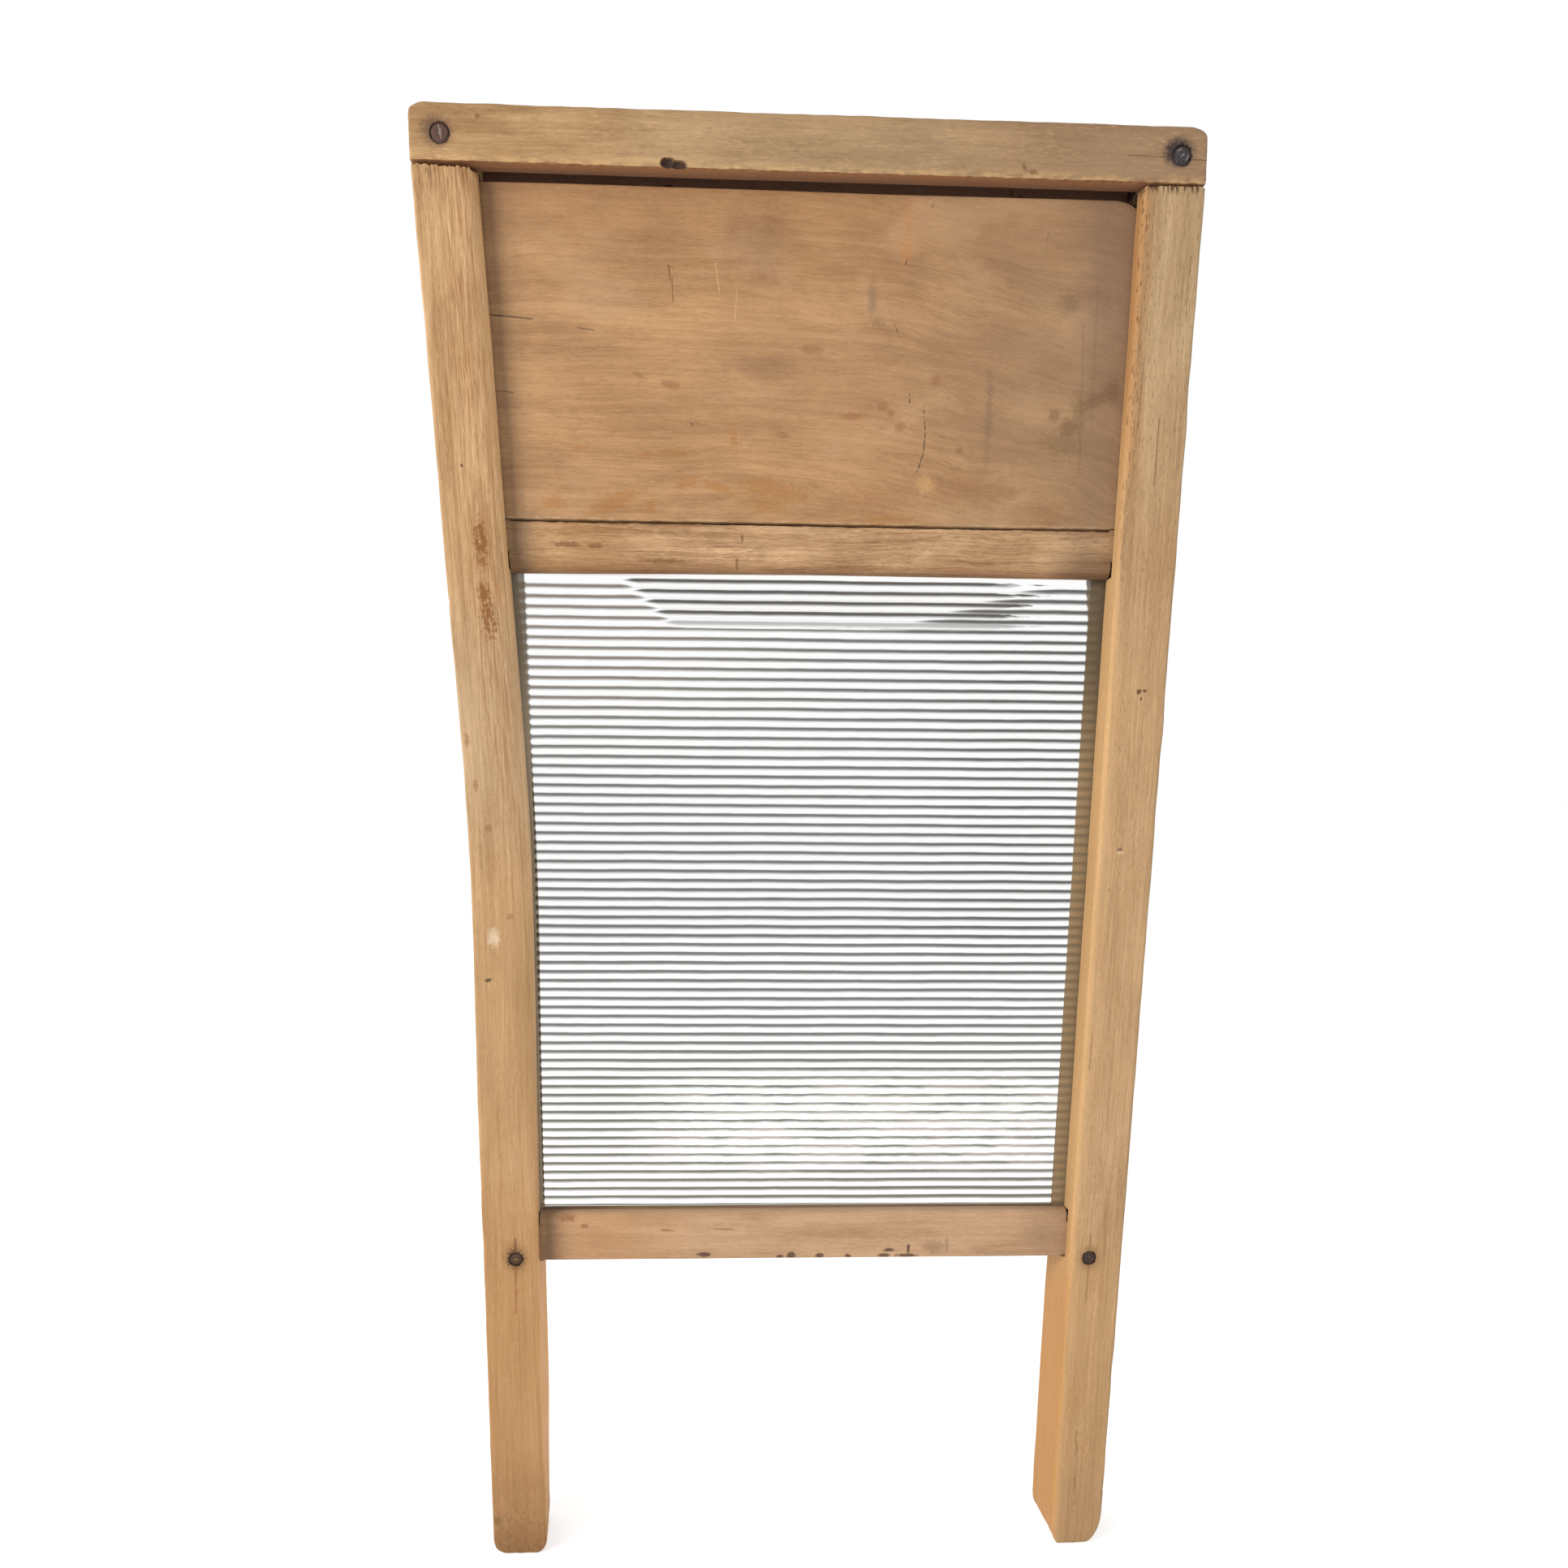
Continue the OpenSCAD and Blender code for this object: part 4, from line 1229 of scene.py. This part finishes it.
def glass_material():
    """Clear pressed glass that does not refract: a Transparent shader tinted on its front face, with painted
    lines. Beside the stiles the wood that the glass shows there is painted on its front as a diffuse colour."""
    p = Paint("ribbed_glass", "object")
    usual, shifted, wavy, drop = glass_lines(p)
    tint = glass_tint(p, usual, shifted, wavy, drop)
    middle = (GLASS_LOW.y + GLASS_HIGH.y) / 2
    front_side = p.step(p.y, middle + 0.2, middle - 0.2)
    tint = p.mix((0.99, 0.99, 0.99, 1), tint, front_side)
    clear = p.add("BsdfTransparent", {"Color": tint})
    gloss = p.add("BsdfGlossy", {"Color": WHITE, "Roughness": 0.08})
    share = p.times(p.add("Fresnel", {"IOR": 1.45}).outputs[0], 0.12)
    glass = p.add("MixShader", {0: share, 1: clear.outputs[0], 2: gloss.outputs[0]})

    # Painted view of the stiles' wood in the glass's margins, in place of refraction, with its light and
    # shade painted in: darker towards the top
    left_margin = p.step(p.minus(p.x, band_start(p)), 0.35, -0.35)
    right_margin = p.step(p.minus(p.x, band_end(p)), -0.35, 0.35)
    wood = p.mix(seen(150, 128, 98, 1.2), seen(104, 91, 73, 1.2), p.step(p.z, 370, 440))
    wood = p.mix(wood, seen(104, 94, 76, 1.2), p.times(usual, 0.45))
    left_wood = p.mix(seen(126, 114, 97, 0.6), seen(106, 97, 82, 0.8), p.step(p.z, 390, 440))
    wood = p.mix(wood, left_wood, left_margin)
    seen_wood = p.add("BsdfDiffuse", {"Color": wood})
    margin = p.times(p.most(left_margin, right_margin), front_side, 0.9)
    return p.surface(p.add("MixShader", {0: margin, 1: glass.outputs[0], 2: seen_wood.outputs[0]}))


# ---------------------------------------------------------------- assembly
def place(piece, material, node, slot, straighten=None, sharp_angle=40.0):
    """Finishes a piece and lets it stand for its CAD node."""
    finish_mesh(piece, sharp_angle, straighten)
    piece.data.materials.clear()
    piece.data.materials.append(material)
    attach(piece, "root")
    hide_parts(node)


place(make_stile(LEFT, "stile_left"), left_stile_wood().done(), "left_stile", "stile_wood", straighten=lean)
place(make_stile(RIGHT, "stile_right"), right_stile_wood().done(), "right_stile", "stile_wood")
place(make_top_rail(), rail_wood().done(), "top_rail", "rail_wood")
place(make_soap_board(), board_wood().done(bump=0.2), "soap_board", "board_wood")
MID_TENON_Z = (MID_LOW.z + GLASS_HOLD, SEAM)
MID_TENON = GROOVE_DEPTH - MORTISE_END
MID_SAG = 1.1
place(make_lower_rail("hold_rail", MID_LOW.z, SEAM, mid_rail_wear, MID_TENON, MID_TENON_Z, MID_SAG),
      mid_rail_wood().done(bump=0.5), "mid_rail", "rail_wood")
BOTTOM_TENON_Z = (BOTTOM_LOW.z, BOTTOM_HIGH.z - GLASS_HOLD)
place(make_lower_rail("foot_rail", BOTTOM_HIGH.z, BOTTOM_LOW.z, bottom_rail_wear, RAIL_TENON, BOTTOM_TENON_Z),
      bottom_rail_wood().done(), "bottom_rail", "rail_wood")
place(make_glass(), glass_material(), "glass_panel", "panel_glass", sharp_angle=80.0)
for number, nail in enumerate(NAIL_LOOKS):
    place(make_nail(nail, 5.0 * number), nail_iron(nail, 3.0 * number), nail, "nail_iron")


# ---------------------------------------------------------------- stage
FLOOR_SIZE = 3.0
FLOOR_GREY = (0.6, 0.6, 0.6, 1)
FLOOR_GLOW = 0.5

# Key light: size and distance in metres, power, and direction in degrees from the front
KEY_SIZE = (0.5, 0.9)
KEY_DISTANCE = 1.5
KEY_POWER = 26.0
KEY_COLOR = (1.0, 0.97, 0.93)
KEY_AZIMUTH = 56
KEY_HEIGHT = 16
KEY_TARGET = Vector((0, FRONT * MM, 0.4))

# Camera, solved from the frame's edges and the ribs: place in millimetres, and its
# tilt down, roll and turn to the right in radians
CAMERA_PLACE = Vector((-49.2, FRONT - 450.35, 350.26))
CAMERA_TILT = 0.172497
CAMERA_ROLL = -0.006798
CAMERA_TURN = -0.036174
CAMERA_LENS = 23.178
CAMERA_SHIFT = (0.03668, 0.14709)


def make_stage():
    bm = bmesh.new()
    bmesh.ops.create_grid(bm, x_segments=4, y_segments=4, size=FLOOR_SIZE)
    floor = as_object(bm, "floor")
    p = Paint("floor_white", "object")
    floor.data.materials.append(p.surface(p.add("BsdfPrincipled", {
        "Base Color": FLOOR_GREY, "Roughness": 0.9, "Specular IOR Level": 0.1,
        "Emission Color": WHITE, "Emission Strength": FLOOR_GLOW})))
    world = bpy.data.worlds.new("studio")
    bpy.context.scene.world = world
    world.use_nodes = True
    background = world.node_tree.nodes["Background"]
    background.inputs["Color"].default_value = WHITE
    background.inputs["Strength"].default_value = 1.0


def make_key_light():
    """Large soft light from the left, a little above the middle of the board."""
    light = bpy.data.lights.new("key", "AREA")
    light.shape = "RECTANGLE"
    light.size, light.size_y = KEY_SIZE
    light.energy = KEY_POWER
    light.color = KEY_COLOR
    lamp = bpy.data.objects.new("key", light)
    bpy.context.scene.collection.objects.link(lamp)
    azimuth = math.radians(KEY_AZIMUTH)
    height = math.radians(KEY_HEIGHT)
    level = math.cos(height)
    away = Vector((-math.sin(azimuth) * level, -math.cos(azimuth) * level, math.sin(height)))
    lamp.location = KEY_TARGET + away * KEY_DISTANCE
    lamp.rotation_euler = (-away).to_track_quat("-Z", "Y").to_euler()


def make_camera():
    """Camera a little above the middle of the board, tilted down, with a slight roll."""
    data = bpy.data.cameras.new("view")
    data.sensor_width = 36.0
    data.lens = CAMERA_LENS
    data.shift_x, data.shift_y = CAMERA_SHIFT
    camera = bpy.data.objects.new("view", data)
    bpy.context.scene.collection.objects.link(camera)
    camera.location = CAMERA_PLACE * MM
    camera.rotation_euler = (math.pi / 2 - CAMERA_TILT, CAMERA_ROLL, CAMERA_TURN)
    bpy.context.scene.camera = camera


make_stage()
make_key_light()
make_camera()
bpy.context.scene.view_settings.view_transform = "Standard"
